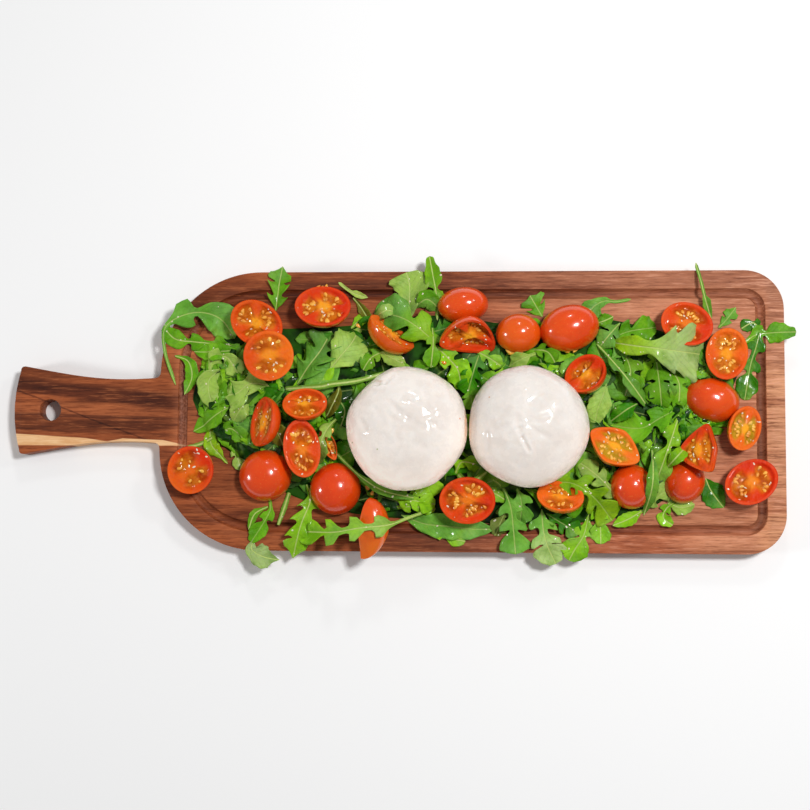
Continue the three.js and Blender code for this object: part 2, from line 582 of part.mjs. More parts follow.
// Along a blade from 0 at its foot to 1 at its tip: the share of the half width
const bladeProfiles = {
  blunt: [[0.2, 0.4], [0.46, 0.58], [0.64, 0.94], [0.86, 1]],
  oval: [[0.2, 0.68], [0.45, 1], [0.7, 0.92], [0.9, 0.5]],
  fan: [[0.2, 0.4], [0.42, 0.28], [0.6, 0.66], [0.8, 1], [0.94, 0.8]],
  endLobe: [[0.42, 1], [0.8, 0.6]],
};
const stemProfile = [[0.05, 0.8], [0.5, 1], [0.95, 0.6]];

// The same along the whole leaf, with how far its edges point forwards where they do
function leafOutline(shape, stem) {
  if (shape === 'stem') {
    return stemProfile;
  }
  const foot = [[0.4 * stem, 0], [stem, 0.14]];
  const onBlade = ([share, ...rest]) => [stem + share * (1 - stem), ...rest];
  if (shape in bladeProfiles) {
    return [...foot, ...bladeProfiles[shape].map(onBlade)];
  }
  const end = shape / (shape + END_LOBE_LENGTH);
  const sides = Array.from({ length: shape }, (_, lobe) => [
    [(end * (lobe + LOBE_TIP_PLACE)) / shape, LOBE_WIDTH + LOBE_WIDENING * lobe, LOBE_FORWARD],
    [(end * (lobe + 1)) / shape, NOTCH_WIDTH],
  ]).flat();
  const endLobe = bladeProfiles.endLobe.map(([share, width]) => [end + share * (1 - end), width]);
  return [...foot, ...[...sides, ...endLobe].map(onBlade)];
}

function leafSolid([rib, width, lift, shape, roll, stem]) {
  const path = new THREE.SplineCurve(rib.map(([x, y]) => new THREE.Vector2(x, y)));
  const phase = rib[0][0] * LEAF_PHASE[0] + rib[0][1] * LEAF_PHASE[1];
  const spot = (share) => {
    const { x, y } = path.getPointAt(share);
    const rise = moundHeight(x, y) + lift * Math.sin(share * 180 * DEGREE) - LEAF_SINK;
    return new THREE.Vector3(x, y, BOARD_TOP + Math.max(rise, LEAF_CLEARANCE));
  };
  const ring = ([share, widthShare, forward = 0]) => {
    const middle = spot(share);
    const along = path.getTangentAt(share);
    const halfWidth = Math.max(STEM_HALF_WIDTH, (widthShare * width) / 2);
    const ripple = LEAF_RIPPLE * halfWidth * Math.sin(LEAF_RIPPLE_RATE * share + phase);
    const lean = Math.min(halfWidth * Math.sin(Math.abs(roll) * DEGREE), lift) * Math.sign(roll);
    const edge = (side) => {
      const out = side * halfWidth;
      const ahead = forward * halfWidth;
      const z = middle.z + side * (lean + ripple) + LEAF_CUP * halfWidth;
      return new THREE.Vector3(
        middle.x - along.y * out + along.x * ahead,
        middle.y + along.x * out + along.y * ahead,
        Math.max(z, BOARD_TOP + EDGE_CLEARANCE),
      );
    };
    const above = middle.clone().setZ(middle.z + LEAF_THICKNESS / 2);
    const below = middle.clone().setZ(middle.z - LEAF_THICKNESS / 2);
    return [edge(1), above, edge(-1), below];
  };
  const rings = leafOutline(shape, stem).map(ring);
  return toSolid(ringBody([[spot(0)], ...rings, [spot(1)]], { alike: true }));
}

// The biggest body of a solid, so that loose scraps go and sealed hollows are filled
function mainBody(solid) {
  const bodies = solid.decompose();
  return bodies.reduce((best, body) => (body.volume() > best.volume() ? body : best));
}

function rocketSalad(toppings) {
  const leaves = heapLeaves.map(leafSolid);
  const heap = leaves.reduce((whole, leaf) => whole.add(leaf), moundSolid());
  const cut = toppings.reduce((rest, topping) => rest.subtract(topping), heap);
  return named('rocket_salad', toGeometry(mainBody(cut)), finishes.rocket);
}

function looseLeafMesh(blades, i) {
  const leaf = blades.map(leafSolid).reduce((whole, blade) => whole.add(blade));
  return named(`rocket_leaf_${i + 1}`, toGeometry(mainBody(leaf)), finishes.rocket);
}

// The toppings grown by the gap that the heap keeps round them
function grownTopping(mesh, geometry) {
  mesh.updateMatrixWorld();
  return toSolid(geometry.applyMatrix4(mesh.matrixWorld));
}

const dish = new THREE.Group();
const burrataMeshes = burratas.map(burrataMesh);
const tomatoMeshes = tomatoes.map(tomatoMesh);
const grown = [
  ...burratas.map((burrata, i) => grownTopping(burrataMeshes[i], burrataGeometry(burrata, FIT_GAP))),
  ...tomatoes.map((tomato, i) => grownTopping(tomatoMeshes[i], tomatoGeometry(tomato, FIT_GAP))),
];
dish.add(
  servingBoard(),
  ...burrataMeshes,
  ...tomatoMeshes,
  rocketSalad(grown),
  ...looseLeaves.map(looseLeafMesh),
);

export default dish;
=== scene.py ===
# A walnut serving board with two burratas on rocket leaves and halved cherry tomatoes, in metres.
# X runs along the board away from its handle, Z is up, and the origin is the middle of the body's
# underside, as in the part.
import math
import random
from collections import namedtuple

import bmesh
import bpy
import numpy as np
from mathutils import Matrix, Vector, noise


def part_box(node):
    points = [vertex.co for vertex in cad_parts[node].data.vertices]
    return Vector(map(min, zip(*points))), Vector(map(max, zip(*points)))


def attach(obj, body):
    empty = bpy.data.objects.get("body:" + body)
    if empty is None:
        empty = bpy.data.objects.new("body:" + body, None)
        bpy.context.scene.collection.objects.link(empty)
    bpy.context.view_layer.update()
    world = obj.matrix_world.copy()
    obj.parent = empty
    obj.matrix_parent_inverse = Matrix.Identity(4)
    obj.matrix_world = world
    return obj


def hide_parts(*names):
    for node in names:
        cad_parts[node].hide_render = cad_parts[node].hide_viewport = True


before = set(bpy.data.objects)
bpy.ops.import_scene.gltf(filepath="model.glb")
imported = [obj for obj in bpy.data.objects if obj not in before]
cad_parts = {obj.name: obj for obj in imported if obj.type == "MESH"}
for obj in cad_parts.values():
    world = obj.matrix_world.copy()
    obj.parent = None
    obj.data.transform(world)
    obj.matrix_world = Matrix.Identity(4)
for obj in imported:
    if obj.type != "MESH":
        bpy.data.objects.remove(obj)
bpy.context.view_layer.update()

# ------------------------------------------------------------------------------------------------
# Studio
# A white table top, one small lamp above and to the right, weaker lamps round it that put the
# glints on wet food, and even light from all sides. The camera looks almost straight down.
# ------------------------------------------------------------------------------------------------
CAMERA_PLACE = (0.022463, -0.073671, 0.913)
CAMERA_TURN = (0.0857148, 0.0668429, 0.0071652)
CAMERA_LENS = 66.507
DISTANCE_OF_LAMPS = 1.3
# Lean from straight up and the way it leans, in degrees, size in metres, and watts
LAMPS = {
    "key_lamp": (24, 25, 0.20, 11.7),
    "back_lamp": (52, 88, 0.12, 1.2),
    "right_lamp": (48, 32, 0.16, 1.4),
    "left_lamp": (66, 188, 0.22, 3.8),
}
LIGHT_ALL_ROUND = 0.24
TABLE_SIZE = 6
TABLE_GAP = 0.0002
TABLE_WHITE = 0.93

bpy.ops.object.select_all(action="DESELECT")
bpy.ops.object.camera_add(location=CAMERA_PLACE, rotation=CAMERA_TURN)
camera = bpy.context.object
camera.data.sensor_width = 36
camera.data.lens = CAMERA_LENS
bpy.context.scene.camera = camera
bpy.context.scene.view_settings.view_transform = "Standard"

for name, (lean, toward, size, watts) in LAMPS.items():
    side = math.sin(math.radians(lean)) * DISTANCE_OF_LAMPS
    toward = math.radians(toward)
    place = Vector((
        side * math.cos(toward),
        side * math.sin(toward),
        math.cos(math.radians(lean)) * DISTANCE_OF_LAMPS,
    ))
    bpy.ops.object.light_add(type="AREA", location=place)
    lamp = bpy.context.object
    lamp.name = name
    lamp.rotation_euler = place.to_track_quat("Z", "Y").to_euler()
    lamp.data.shape = "DISK"
    lamp.data.size = size
    lamp.data.energy = watts

world = bpy.data.worlds.new("even_light")
world.use_nodes = True
background = world.node_tree.nodes["Background"].inputs
background["Color"].default_value = (1, 1, 1, 1)
background["Strength"].default_value = LIGHT_ALL_ROUND
bpy.context.scene.world = world

bpy.ops.mesh.primitive_plane_add(size=TABLE_SIZE, location=(0, 0, -TABLE_GAP))
table_top = bpy.context.object
table_top.name = "table_top"
white = bpy.data.materials.new("white_table")
white.use_nodes = True
surface = white.node_tree.nodes["Principled BSDF"].inputs
surface["Base Color"].default_value = (TABLE_WHITE, TABLE_WHITE, TABLE_WHITE, 1)
surface["Roughness"].default_value = 0.8
table_top.data.materials.append(white)

# ------------------------------------------------------------------------------------------------
# Serving board
# One plank of oiled walnut with a strip of pale sapwood along the lower side of its handle. It is
# sawn to shape, its juice groove is routed round the top, and its edges are eased and sanded.
# ------------------------------------------------------------------------------------------------
board_low, board_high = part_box("serving_board")
BOARD_TOP = board_high.z
HALF_LENGTH = board_high.x
HALF_WIDTH = board_high.y
NEAR_RADIUS = 0.0615
FAR_RADIUS = 0.0235
EASED_EDGE = 0.0014
HANDLE_ROOT = 0.0198
HANDLE_WAIST = 0.01905
HANDLE_CORNER = 0.0275
HANDLE_ROUND = 0.0035
HANDLE_BOW = 0.0033
WAIST_FROM_BODY = 0.0216
# Bezier handles of the swell behind the waist: how far behind it, and how much wider
HANDLE_SWELL = ((0, 0), (0.022, 0), (0.040, 0.0037))
SHOULDER_NARROWER = 0.0006
HOLE_RADIUS = 0.0066
HOLE_FROM_END = 0.0223
GROOVE_MIDDLE = 0.014
GROOVE_HALF_WIDTH = 0.003
GROOVE_DEPTH = 0.0027
EASED_RIM = 0.0004
RIM_REACH = 0.00015
SAME_PLACE = 0.00001
# The sapwood's upper line: share of the handle's length, and height in the strip from 0 to 1
SAPWOOD_LENGTH = 0.108
SAPWOOD_LINE = ((0.0, 0.78), (0.42, 0.50), (0.54, 0.30), (0.63, 0.50), (0.86, 0.40), (1.0, 0.06))
# Dark growth bands on the handle: place at its end, slope, half width and strength
GROWTH_BANDS = (
    (0.0150, -0.094, 0.0042, 1.0),
    (0.0118, -0.36, 0.0005, 0.8),
    (-0.0030, -0.020, 0.0010, 0.9),
    (-0.0080, -0.012, 0.0026, 0.6),
    (-0.0118, -0.030, 0.0007, 0.6),
)


def begin(name, primitive, stretch=(1, 1, 1), **settings):
    """Adds a primitive with nothing else selected, stretches it and makes its place final."""
    bpy.ops.object.select_all(action="DESELECT")
    primitive(**settings)
    piece = bpy.context.object
    piece.name = piece.data.name = name
    piece.scale = stretch
    bpy.ops.object.transform_apply(location=True, rotation=True, scale=True)
    return piece


def only(piece):
    """Selects this piece alone and makes it the active one."""
    bpy.ops.object.select_all(action="DESELECT")
    piece.select_set(True)
    bpy.context.view_layer.objects.active = piece


def smooth(piece, up_to=None):
    """Shades the piece smoothly, except across edges that turn by more than this, in degrees."""
    only(piece)
    if up_to is None:
        bpy.ops.object.shade_smooth()
    else:
        bpy.ops.object.shade_smooth_by_angle(angle=math.radians(up_to))


def pick(piece, kind, chosen):
    """Enters edit mode with only those vertices, edges or faces selected that chosen accepts."""
    bpy.context.view_layer.objects.active = piece
    bpy.ops.object.mode_set(mode="EDIT")
    bpy.ops.mesh.select_mode(type=kind)
    bpy.ops.mesh.select_all(action="DESELECT")
    shape = bmesh.from_edit_mesh(piece.data)
    for part in {"VERT": shape.verts, "EDGE": shape.edges, "FACE": shape.faces}[kind]:
        part.select_set(bool(chosen(part)))
    shape.select_flush_mode()
    bmesh.update_edit_mesh(piece.data)


def leave_edit_mode():
    bpy.ops.object.mode_set(mode="OBJECT")


def modify(piece, kind, **settings):
    """Adds a modifier with these settings and applies it."""
    modifier = piece.modifiers.new(kind.lower(), kind)
    for setting, value in settings.items():
        setattr(modifier, setting, value)
    bpy.context.view_layer.objects.active = piece
    bpy.ops.object.modifier_apply(modifier=modifier.name)


def hand_over(piece, slot, *nodes):
    """Makes the piece part of the object, in place of the nodes that it stands for."""
    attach(piece, "root")
    if nodes:
        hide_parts(*nodes)


def rounded_plate(name, inset):
    """A flat plate at the board's top with the body's outline moved inwards."""
    plate = begin(
        name,
        bpy.ops.mesh.primitive_plane_add,
        size=1,
        location=(0, 0, BOARD_TOP),
        stretch=(2 * (HALF_LENGTH - inset), 2 * (HALF_WIDTH - inset), 1),
    )
    for side, radius, segments in ((1, FAR_RADIUS, 14), (-1, NEAR_RADIUS, 28)):
        pick(plate, "VERT", lambda vert: vert.co.x * side > HALF_LENGTH - inset - SAME_PLACE)
        bpy.ops.mesh.bevel(offset=radius - inset, segments=segments, affect="VERTICES")
        leave_edit_mode()
    return plate


def on_curve(handles, share):
    """The point at a share of the way along the Bezier curve of these handles."""
    while len(handles) > 1:
        handles = [a.lerp(b, share) for a, b in zip(handles, handles[1:])]
    return handles[0]


def handle_stations():
    """Places along the handle and its half width there, from the body to the end's corner."""
    neck = -HALF_LENGTH - HANDLE_ROUND
    waist = -HALF_LENGTH - WAIST_FROM_BODY
    corner = board_low.x + HANDLE_BOW
    shoulder = (corner + HANDLE_ROUND, HANDLE_CORNER - SHOULDER_NARROWER)
    stations = [Vector((-HALF_LENGTH, HALF_WIDTH - NEAR_RADIUS))]
    for step in range(1, 5):
        turn = math.radians(step * 90 / 4)
        stations.append(Vector((
            neck + HANDLE_ROUND * math.cos(turn),
            HANDLE_ROOT + HANDLE_ROUND * (1 - math.sin(turn)),
        )))
    curves = [
        [(neck, HANDLE_ROOT), (waist + WAIST_FROM_BODY / 3, HANDLE_WAIST), (waist, HANDLE_WAIST)],
        [(waist - behind, HANDLE_WAIST + wider) for behind, wider in HANDLE_SWELL] + [shoulder],
        [shoulder, (corner, HANDLE_CORNER), (corner, HANDLE_CORNER - HANDLE_ROUND)],
    ]
    for handles, steps in zip(curves, (4, 14, 6)):
        handles = [Vector(handle) for handle in handles]
        stations += [on_curve(handles, (step + 1) / steps) for step in range(steps)]
    return stations


board = rounded_plate("board", 0)
pick(board, "EDGE", lambda edge: all(vert.co.x < -HALF_LENGTH + SAME_PLACE for vert in edge.verts))
stations = handle_stations()
for here, there in zip(stations, stations[1:]):
    bpy.ops.mesh.extrude_region_move(TRANSFORM_OT_translate={"value": (there.x - here.x, 0, 0)})
    bpy.ops.transform.resize(
        value=(1, there.y / here.y, 1), center_override=(there.x, 0, BOARD_TOP)
    )
bpy.ops.mesh.subdivide(number_cuts=14)
leave_edit_mode()
handle_end = stations[-1]
for vert in board.data.vertices:
    if vert.co.x < handle_end.x + SAME_PLACE:
        vert.co.x -= HANDLE_BOW * (1 - (vert.co.y / handle_end.y) ** 2)
modify(board, "SOLIDIFY", thickness=BOARD_TOP, offset=-1)
modify(
    board, "BEVEL", width=EASED_EDGE, segments=3, limit_method="ANGLE", angle_limit=math.radians(50)
)

hole_x = board_low.x + HOLE_FROM_END
drill = begin(
    "drill",
    bpy.ops.mesh.primitive_cylinder_add,
    vertices=48,
    radius=HOLE_RADIUS,
    depth=3 * BOARD_TOP,
    location=(hole_x, 0, BOARD_TOP / 2),
)
router = rounded_plate("router", GROOVE_MIDDLE)
pick(router, "FACE", lambda face: True)
bpy.ops.mesh.delete(type="ONLY_FACE")
leave_edit_mode()
router.select_set(True)
bpy.ops.object.convert(target="CURVE")
router.data.dimensions = "3D"
router.data.bevel_depth = GROOVE_HALF_WIDTH
router.data.bevel_resolution = 5
bpy.ops.object.convert(target="MESH")
for vert in router.data.vertices:
    vert.co.z = BOARD_TOP + (vert.co.z - BOARD_TOP) * GROOVE_DEPTH / GROOVE_HALF_WIDTH
for cutter in (drill, router):
    modify(board, "BOOLEAN", operation="DIFFERENCE", object=cutter, solver="EXACT")
    bpy.data.objects.remove(cutter)


def inset_at(x, y):
    """How far a place on the body lies inside its outline."""
    radius = FAR_RADIUS if x > 0 else NEAR_RADIUS
    from_corner = (abs(x) - HALF_LENGTH + radius, abs(y) - HALF_WIDTH + radius)
    if min(from_corner) > 0:
        return radius - math.hypot(*from_corner)
    return min(HALF_LENGTH - abs(x), HALF_WIDTH - abs(y))


def on_rim(vert):
    """Whether a vertex lies on a sharp rim of the groove or of the hanging hole."""
    at_face = min(abs(vert.co.z - BOARD_TOP), abs(vert.co.z)) < 1e-6
    from_groove = abs(inset_at(vert.co.x, vert.co.y) - GROOVE_MIDDLE) - GROOVE_HALF_WIDTH
    from_hole = math.hypot(vert.co.x - hole_x, vert.co.y) - HOLE_RADIUS
    return at_face and min(abs(from_groove), abs(from_hole)) < RIM_REACH


pick(board, "FACE", lambda face: True)
bpy.ops.mesh.remove_doubles(threshold=SAME_PLACE)
leave_edit_mode()
pick(board, "EDGE", lambda edge: all(on_rim(vert) for vert in edge.verts))
bpy.ops.mesh.bevel(offset=EASED_RIM, segments=2, affect="EDGES")
leave_edit_mode()
smooth(board, 35)


def srgb(red, green, blue):
    """A colour of 0 to 255 as the linear colour that shaders use."""
    return tuple(
        part / 12.92 if part <= 0.04045 else ((part + 0.055) / 1.055) ** 2.4
        for part in (red / 255, green / 255, blue / 255)
    ) + (1,)


class Wire:
    """An output of a material's nodes. Arithmetic on it adds Math nodes."""

    def __init__(self, tree, socket=None):
        self.tree = tree
        self.socket = socket

    def node(self, kind, settings={}, values={}, output=0):
        """Adds any node: first its settings, then values or wires for its sockets."""
        made = self.tree.nodes.new("ShaderNode" + kind)
        for name, value in settings.items():
            if name == "stops":
                ramp = made.color_ramp
                while len(ramp.elements) < len(value):
                    ramp.elements.new(0.5)
                for stop, (place, colour) in zip(ramp.elements, value):
                    stop.position = place
                    stop.color = colour
            else:
                setattr(made, name, value)
        for socket, value in values.items():
            if isinstance(value, Wire):
                self.tree.links.new(value.socket, made.inputs[socket])
            else:
                made.inputs[socket].default_value = value
        return Wire(self.tree, made.outputs[output])

    def maths(self, operation, first, second):
        return self.node("Math", {"operation": operation}, {0: first, 1: second})

    def __add__(self, other):
        return self.maths("ADD", self, other)

    def __radd__(self, other):
        return self.maths("ADD", other, self)

    def __sub__(self, other):
        return self.maths("SUBTRACT", self, other)

    def __rsub__(self, other):
        return self.maths("SUBTRACT", other, self)

    def __mul__(self, other):
        return self.maths("MULTIPLY", self, other)

    def __truediv__(self, other):
        return self.maths("DIVIDE", self, other)

    def __pow__(self, other):
        return self.maths("POWER", self, other)

    def __abs__(self):
        return self.maths("ABSOLUTE", self, 0)


def new_finish(name, constants):
    """A material whose shader has these constants, its shader and a wire to build from."""
    material = bpy.data.materials.new(name)
    material.use_nodes = True
    shader = material.node_tree.nodes["Principled BSDF"]
    for socket, value in constants.items():
        shader.inputs[socket].default_value = value
    return material, shader, Wire(material.node_tree)


def feed(shader, **wires):
    """Links wires to the shader, as base_color=wire does to Base Color."""
    for name, wire in wires.items():
        wire.tree.links.new(wire.socket, shader.inputs[name.replace("_", " ").title()])


def object_place(wire):
    return wire.node("TexCoord", output="Object")


def parts_of(vector, axes="XYZ"):
    """A wire for each of these axes of a vector."""
    return [vector.node("SeparateXYZ", {}, {"Vector": vector}, axis) for axis in axes]


def carried(wire, name, output="Fac"):
    """A value that the mesh carries at its points under this name."""
    return wire.node("Attribute", {"attribute_name": name}, {}, output)


def stretched(place, x, y, z):
    """The place with its X, Y and Z multiplied, which makes a pattern denser along them."""
    return place.node("Mapping", {}, {"Vector": place, "Scale": (x, y, z)})


def cloud(place, scale, detail=2.0, roughness=0.5):
    """Soft noise from 0 to 1."""
    return place.node("TexNoise", {}, {
        "Vector": place, "Scale": scale, "Detail": detail, "Roughness": roughness,
    })


def rise(wire, low, high):
    """0 below low, 1 above high and smooth between them."""
    return wire.node("MapRange", {"interpolation_type": "SMOOTHSTEP"}, {
        "Value": wire, "From Min": low, "From Max": high,
    })


def mix(share, first, second):
    """The first colour, going over to the second as share rises to 1."""
    return share.node("Mix", {"data_type": "RGBA"}, {0: share, 6: first, 7: second}, 2)


def relief(height, strength, distance):
    return height.node("Bump", {}, {
        "Strength": strength, "Distance": distance, "Height": height,
    }, "Normal")


def tint(share, colour, by):
    """The colour, multiplied by another as share rises to 1."""
    return share.node("Mix", {"data_type": "RGBA", "blend_type": "MULTIPLY"}, {
        0: share, 6: colour, 7: by,
    }, 2)


def walnut():
    """Oiled walnut: dark red-brown from the handle to the middle, paler and pinker beyond it."""
    material, shader, start = new_finish("oiled_walnut", {"Specular IOR Level": 0.22})
    place = object_place(start)
    x, y, z = parts_of(place)
    from_end = x - board_low.x
    wander = cloud(stretched(place, 9, 9, 9), 1, 2) - 0.5
    sway = y + wander * 0.010
    figure_place = start.node("CombineXYZ", {}, {"X": x * 6, "Y": sway * 75, "Z": z * 40})
    figure = cloud(figure_place, 1, 3, 0.6)
    broad = cloud(stretched(place, 5, 30, 30), 1, 2)
    fibre = cloud(stretched(place, 60, 800, 800), 1, 3, 0.7)
    hair = cloud(stretched(place, 150, 2200, 2200), 1, 2, 0.6)
    near = mix(rise(figure, 0.34, 0.66), srgb(106, 50, 24), srgb(170, 90, 48))
    far = mix(rise(figure, 0.32, 0.68), srgb(168, 100, 68), srgb(208, 138, 100))
    along = rise(x - y * 0.18 + wander * 0.08, -0.045, 0.105)
    colour = mix(along, near, far)
    # A warm zone along the middle of the handle
    middle = rise(0.0062 - abs(y - 0.001 + from_end * 0.03), 0.0, 0.004)
    colour = mix(middle * rise(-0.165 - x, 0, 0.05) * 0.55, colour, srgb(186, 104, 60))
    # The last strip before the far end is orange, with dark lines
    end_strip = rise(x, 0.166, 0.178) * rise(0.036 - y, 0, 0.02)
    lines = mix(rise(figure, 0.4, 0.6), srgb(196, 122, 80), srgb(236, 168, 120))
    colour = mix(end_strip * 0.65, colour, lines)
    dim = rise(broad, 0.48, 0.66) * (1 - along * 0.55)
    colour = tint(dim * 0.70, colour, (0.50, 0.41, 0.36, 1))
    # Darker wood along the upper edge, a warmer strip along the lower and a paler left end
    upper_edge = rise(y, 0.060, 0.072) * rise(x, -0.125, -0.095) * (1 - along * 0.5)
    colour = tint(upper_edge, colour, (0.56, 0.52, 0.53, 1))
    lower_edge = rise(y * -1, 0.064, 0.074) * along * rise(0.150 - x, 0, 0.04)
    colour = tint(lower_edge, colour, (0.82, 0.60, 0.48, 1))
    colour = tint(rise(x, 0.176, 0.180), colour, (0.88, 0.90, 0.92, 1))
    left_end = rise(x, -0.186, -0.176) * rise(-0.104 - x, 0, 0.03) * rise(0.058 - abs(y), 0, 0.02)
    warm = mix(rise(figure, 0.3, 0.6), srgb(154, 82, 46), srgb(204, 120, 74))
    colour = mix(left_end * 0.46, colour, warm)
    on_handle = rise(-0.163 - x, 0, 0.03) * rise(y + 0.0195, 0, 0.002) * rise(figure, 0.05, 0.45)
    for end_y, slope, half_width, strength in GROWTH_BANDS:
        line = end_y + from_end * slope + wander * 0.004
        apart = abs(y - line + (fibre - 0.5) * 0.002) / half_width
        band = rise(1.5 - apart, 0.0, 0.9) * on_handle
        colour = tint(band * strength, colour, (0.36, 0.30, 0.31, 1))
    streaks = rise(fibre, 0.50, 0.66)
    colour = tint(streaks * (0.76 + end_strip * 0.24), colour, (0.50, 0.41, 0.37, 1))
    colour = tint(rise(hair, 0.52, 0.66) * 0.55, colour, (0.60, 0.52, 0.50, 1))
    light_hairs = rise(0.47 - fibre, 0.0, 0.14) * (0.30 + rise(x, 0.13, 0.19) * 0.24)
    colour = mix(light_hairs, colour, mix(along, srgb(206, 122, 72), srgb(232, 168, 136)))
    # Sapwood between two lines on the lower side of the handle
    stops = [(share, (height, height, height, 1)) for share, height in SAPWOOD_LINE]
    upper_line = start.node("ValToRGB", {"stops": stops}, {"Fac": from_end / SAPWOOD_LENGTH})
    upper_y = -0.022 + upper_line * 0.010 + (figure - 0.5) * 0.0012
    pale = rise(upper_y - y, 0.0, 0.0006) * rise(y + 0.0219, 0.0, 0.0004)
    pale = pale * rise(-0.1715 - x, 0, 0.001)
    sapwood = mix(rise(fibre, 0.35, 0.65), srgb(240, 196, 146), srgb(222, 166, 112))
    colour = mix(pale, colour, sapwood)
    # The routed groove: darker end grain with painted shade in its recess, and a worn grey-pink
    # floor beside the handle
    radius = rise(x * -1, 0, 0.001) * (NEAR_RADIUS - FAR_RADIUS) + FAR_RADIUS
    past_x = x.maths("MAXIMUM", abs(x) - HALF_LENGTH + radius, 0)
    past_y = x.maths("MAXIMUM", abs(y) - HALF_WIDTH + radius, 0)
    inside = radius - (past_x ** 2 + past_y ** 2) ** 0.5
    deep = rise(BOARD_TOP - z, 0.0004, 0.0018) * rise(inside, 0.004, 0.006)
    # Painted shade: the groove's recess is darkened, together with its darker end grain
    colour = tint(deep * rise(x, -0.16, -0.13) * 0.75, colour, (0.62, 0.50, 0.45, 1))
    worn = mix(rise(cloud(place, 800, 2), 0.44, 0.60), srgb(112, 68, 50), srgb(158, 106, 84))
    colour = mix(deep * rise(-0.165 - x, 0, 0.004) * 0.6, colour, worn)
    # Painted shadow on the groove's right wall at the far end, which is turned from the key lamp
    groove_shadow = deep * rise(x, 0.166, 0.174) * rise(0.040 - y, 0, 0.01)
    colour = tint(groove_shadow * 0.8, colour, (0.34, 0.26, 0.24, 1))
    feed(
        shader,
        base_color=colour,
        roughness=0.50 + fibre * 0.2,
        normal=relief(fibre * -1 - hair * 0.6, 0.30, 0.0004),
    )
    return material


board.data.materials.append(walnut())
hand_over(board, "board_wood", "serving_board")

# ------------------------------------------------------------------------------------------------
# Burratas
# Two balls of cream-filled curd. The skin is stretched round the filling and pinched shut, so it
# is wet, soft and faintly wrinkled, and the balls settle flat on the leaves and on each other.
# ------------------------------------------------------------------------------------------------
BURRATA_BASE_RADIUS = 0.022
BURRATA_FULLNESS = 0.8
BURRATA_HEIGHT = 0.0469
BURRATA_LOWER_SHARE = 0.42
BURRATA_REST = 0.003
SKIN_SLACK = 0.45
# How dense the skin's soft lumps are and how high, in millimetres
SKIN_LUMPS = ((0.09, 0.4), (0.24, 0.12))
# Waves round a ball's side: their number, how far the phase turns them, and height in millimetres
BALL_WAVES = ((3, 1, 0.35), (5, -2, 0.25))
# Rings of the sphere below this many degrees make the underside
UNDERSIDE_FROM = -62
# Centre, radii, flats as direction in degrees, depth and half spread, phase of the swelling, and
# creases as two ends, half width and depth, all but the angles in millimetres
BURRATAS = {
    "burrata_left": {
        "centre": (-35.5, -12.3),
        "radii": (35.9, 36.6),
        "flats": ((135, 1.8, 34), (12, 0.6, 28), (-42, 1.3, 26)),
        "phase": 0.4,
        "creases": (
            (-57, 17.5, -52.5, 13, 1.4, 0.8), (-52.5, 13, -47, 13.5, 1.3, 0.7),
            (-47, 13.5, -43.5, 18, 1.2, 0.5), (-54, 8, -49, 9, 1.3, 0.35),
            (-40, -2, -33, -8, 1.7, 0.50), (-36, 3, -27, 1, 1.6, 0.46),
            (-24, 8, -15, 5, 1.3, 0.42), (-33, -8, -25, -13, 1.6, 0.44),
            (-44, 2, -38, -5, 1.5, 0.44), (-27, 3, -20, -2, 1.2, 0.40),
            (-52, -3, -47, -12, 1.7, 0.34), (-30, -22, -22, -26, 2.0, 0.28),
            (-19, -10, -13, -15, 1.3, 0.42), (-61, -9, -58, -14, 1.4, 0.42),
            (-42, -14, -38, -21, 1.5, 0.26),
        ),
    },
    "burrata_right": {
        "centre": (35.5, -11.1),
        "radii": (35.4, 35.9),
        "flats": ((180, 0.3, 30), (62, 1.0, 30), (-118, 0.9, 34)),
        "phase": 2.1,
        "creases": (
            (29.2, -6.8, 30.3, -14.2, 1.4, 0.45), (30.3, -14.2, 32, -19.3, 1.3, 0.5),
            (32, -19.3, 35.9, -26.7, 0.9, 0.85), (30.9, -30.1, 28.7, -34.5, 1.4, 0.3),
            (11.5, -16, 12, -27, 1.4, 0.4), (22, -12, 16, -15, 1.6, 0.35),
            (30, -14, 24, -18, 1.6, 0.35), (36, -10, 46, -7, 1.8, 0.35),
            (38, -14, 47, -19, 1.6, 0.3), (24, -2, 19, -8, 1.4, 0.3),
            (36, 1, 44, 6, 1.6, 0.3), (22, -22, 19, -29, 1.4, 0.3),
        ),
    },
}
# Specks of dressing on them, in metres
SPECKS = (
    (-0.0040, -0.0075, (214, 120, 30)),
    (-0.0665, -0.0215, (110, 120, 40)),
    (-0.0510, -0.0260, (150, 170, 90)),
    (0.0130, 0.0045, (206, 150, 96)),
)


def pressed_in(angle, flats):
    """How deep the ball is pressed in on a side, in millimetres."""
    depth_here = 0
    for direction, depth, spread in flats:
        away = abs((math.degrees(angle) - direction + 540) % 360 - 180)
        if away < spread:
            depth_here += depth * math.cos(away / spread * math.pi / 2) ** 2
    return depth_here


def crease_depth(x, y, creases):
    """How deep the creases run at a place seen from above, in millimetres, less their lips."""
    depth_here = 0
    for x0, y0, x1, y1, half_width, depth in creases:
        run = Vector((x1 - x0, y1 - y0))
        away = Vector((x - x0, y - y0))
        share = max(0, min(1, away.dot(run) / run.length_squared))
        gap = (away - run * share).length / half_width
        depth_here += depth * (math.exp(-gap * gap) - 0.35 * math.exp(-((gap - 2) ** 2)))
    return depth_here


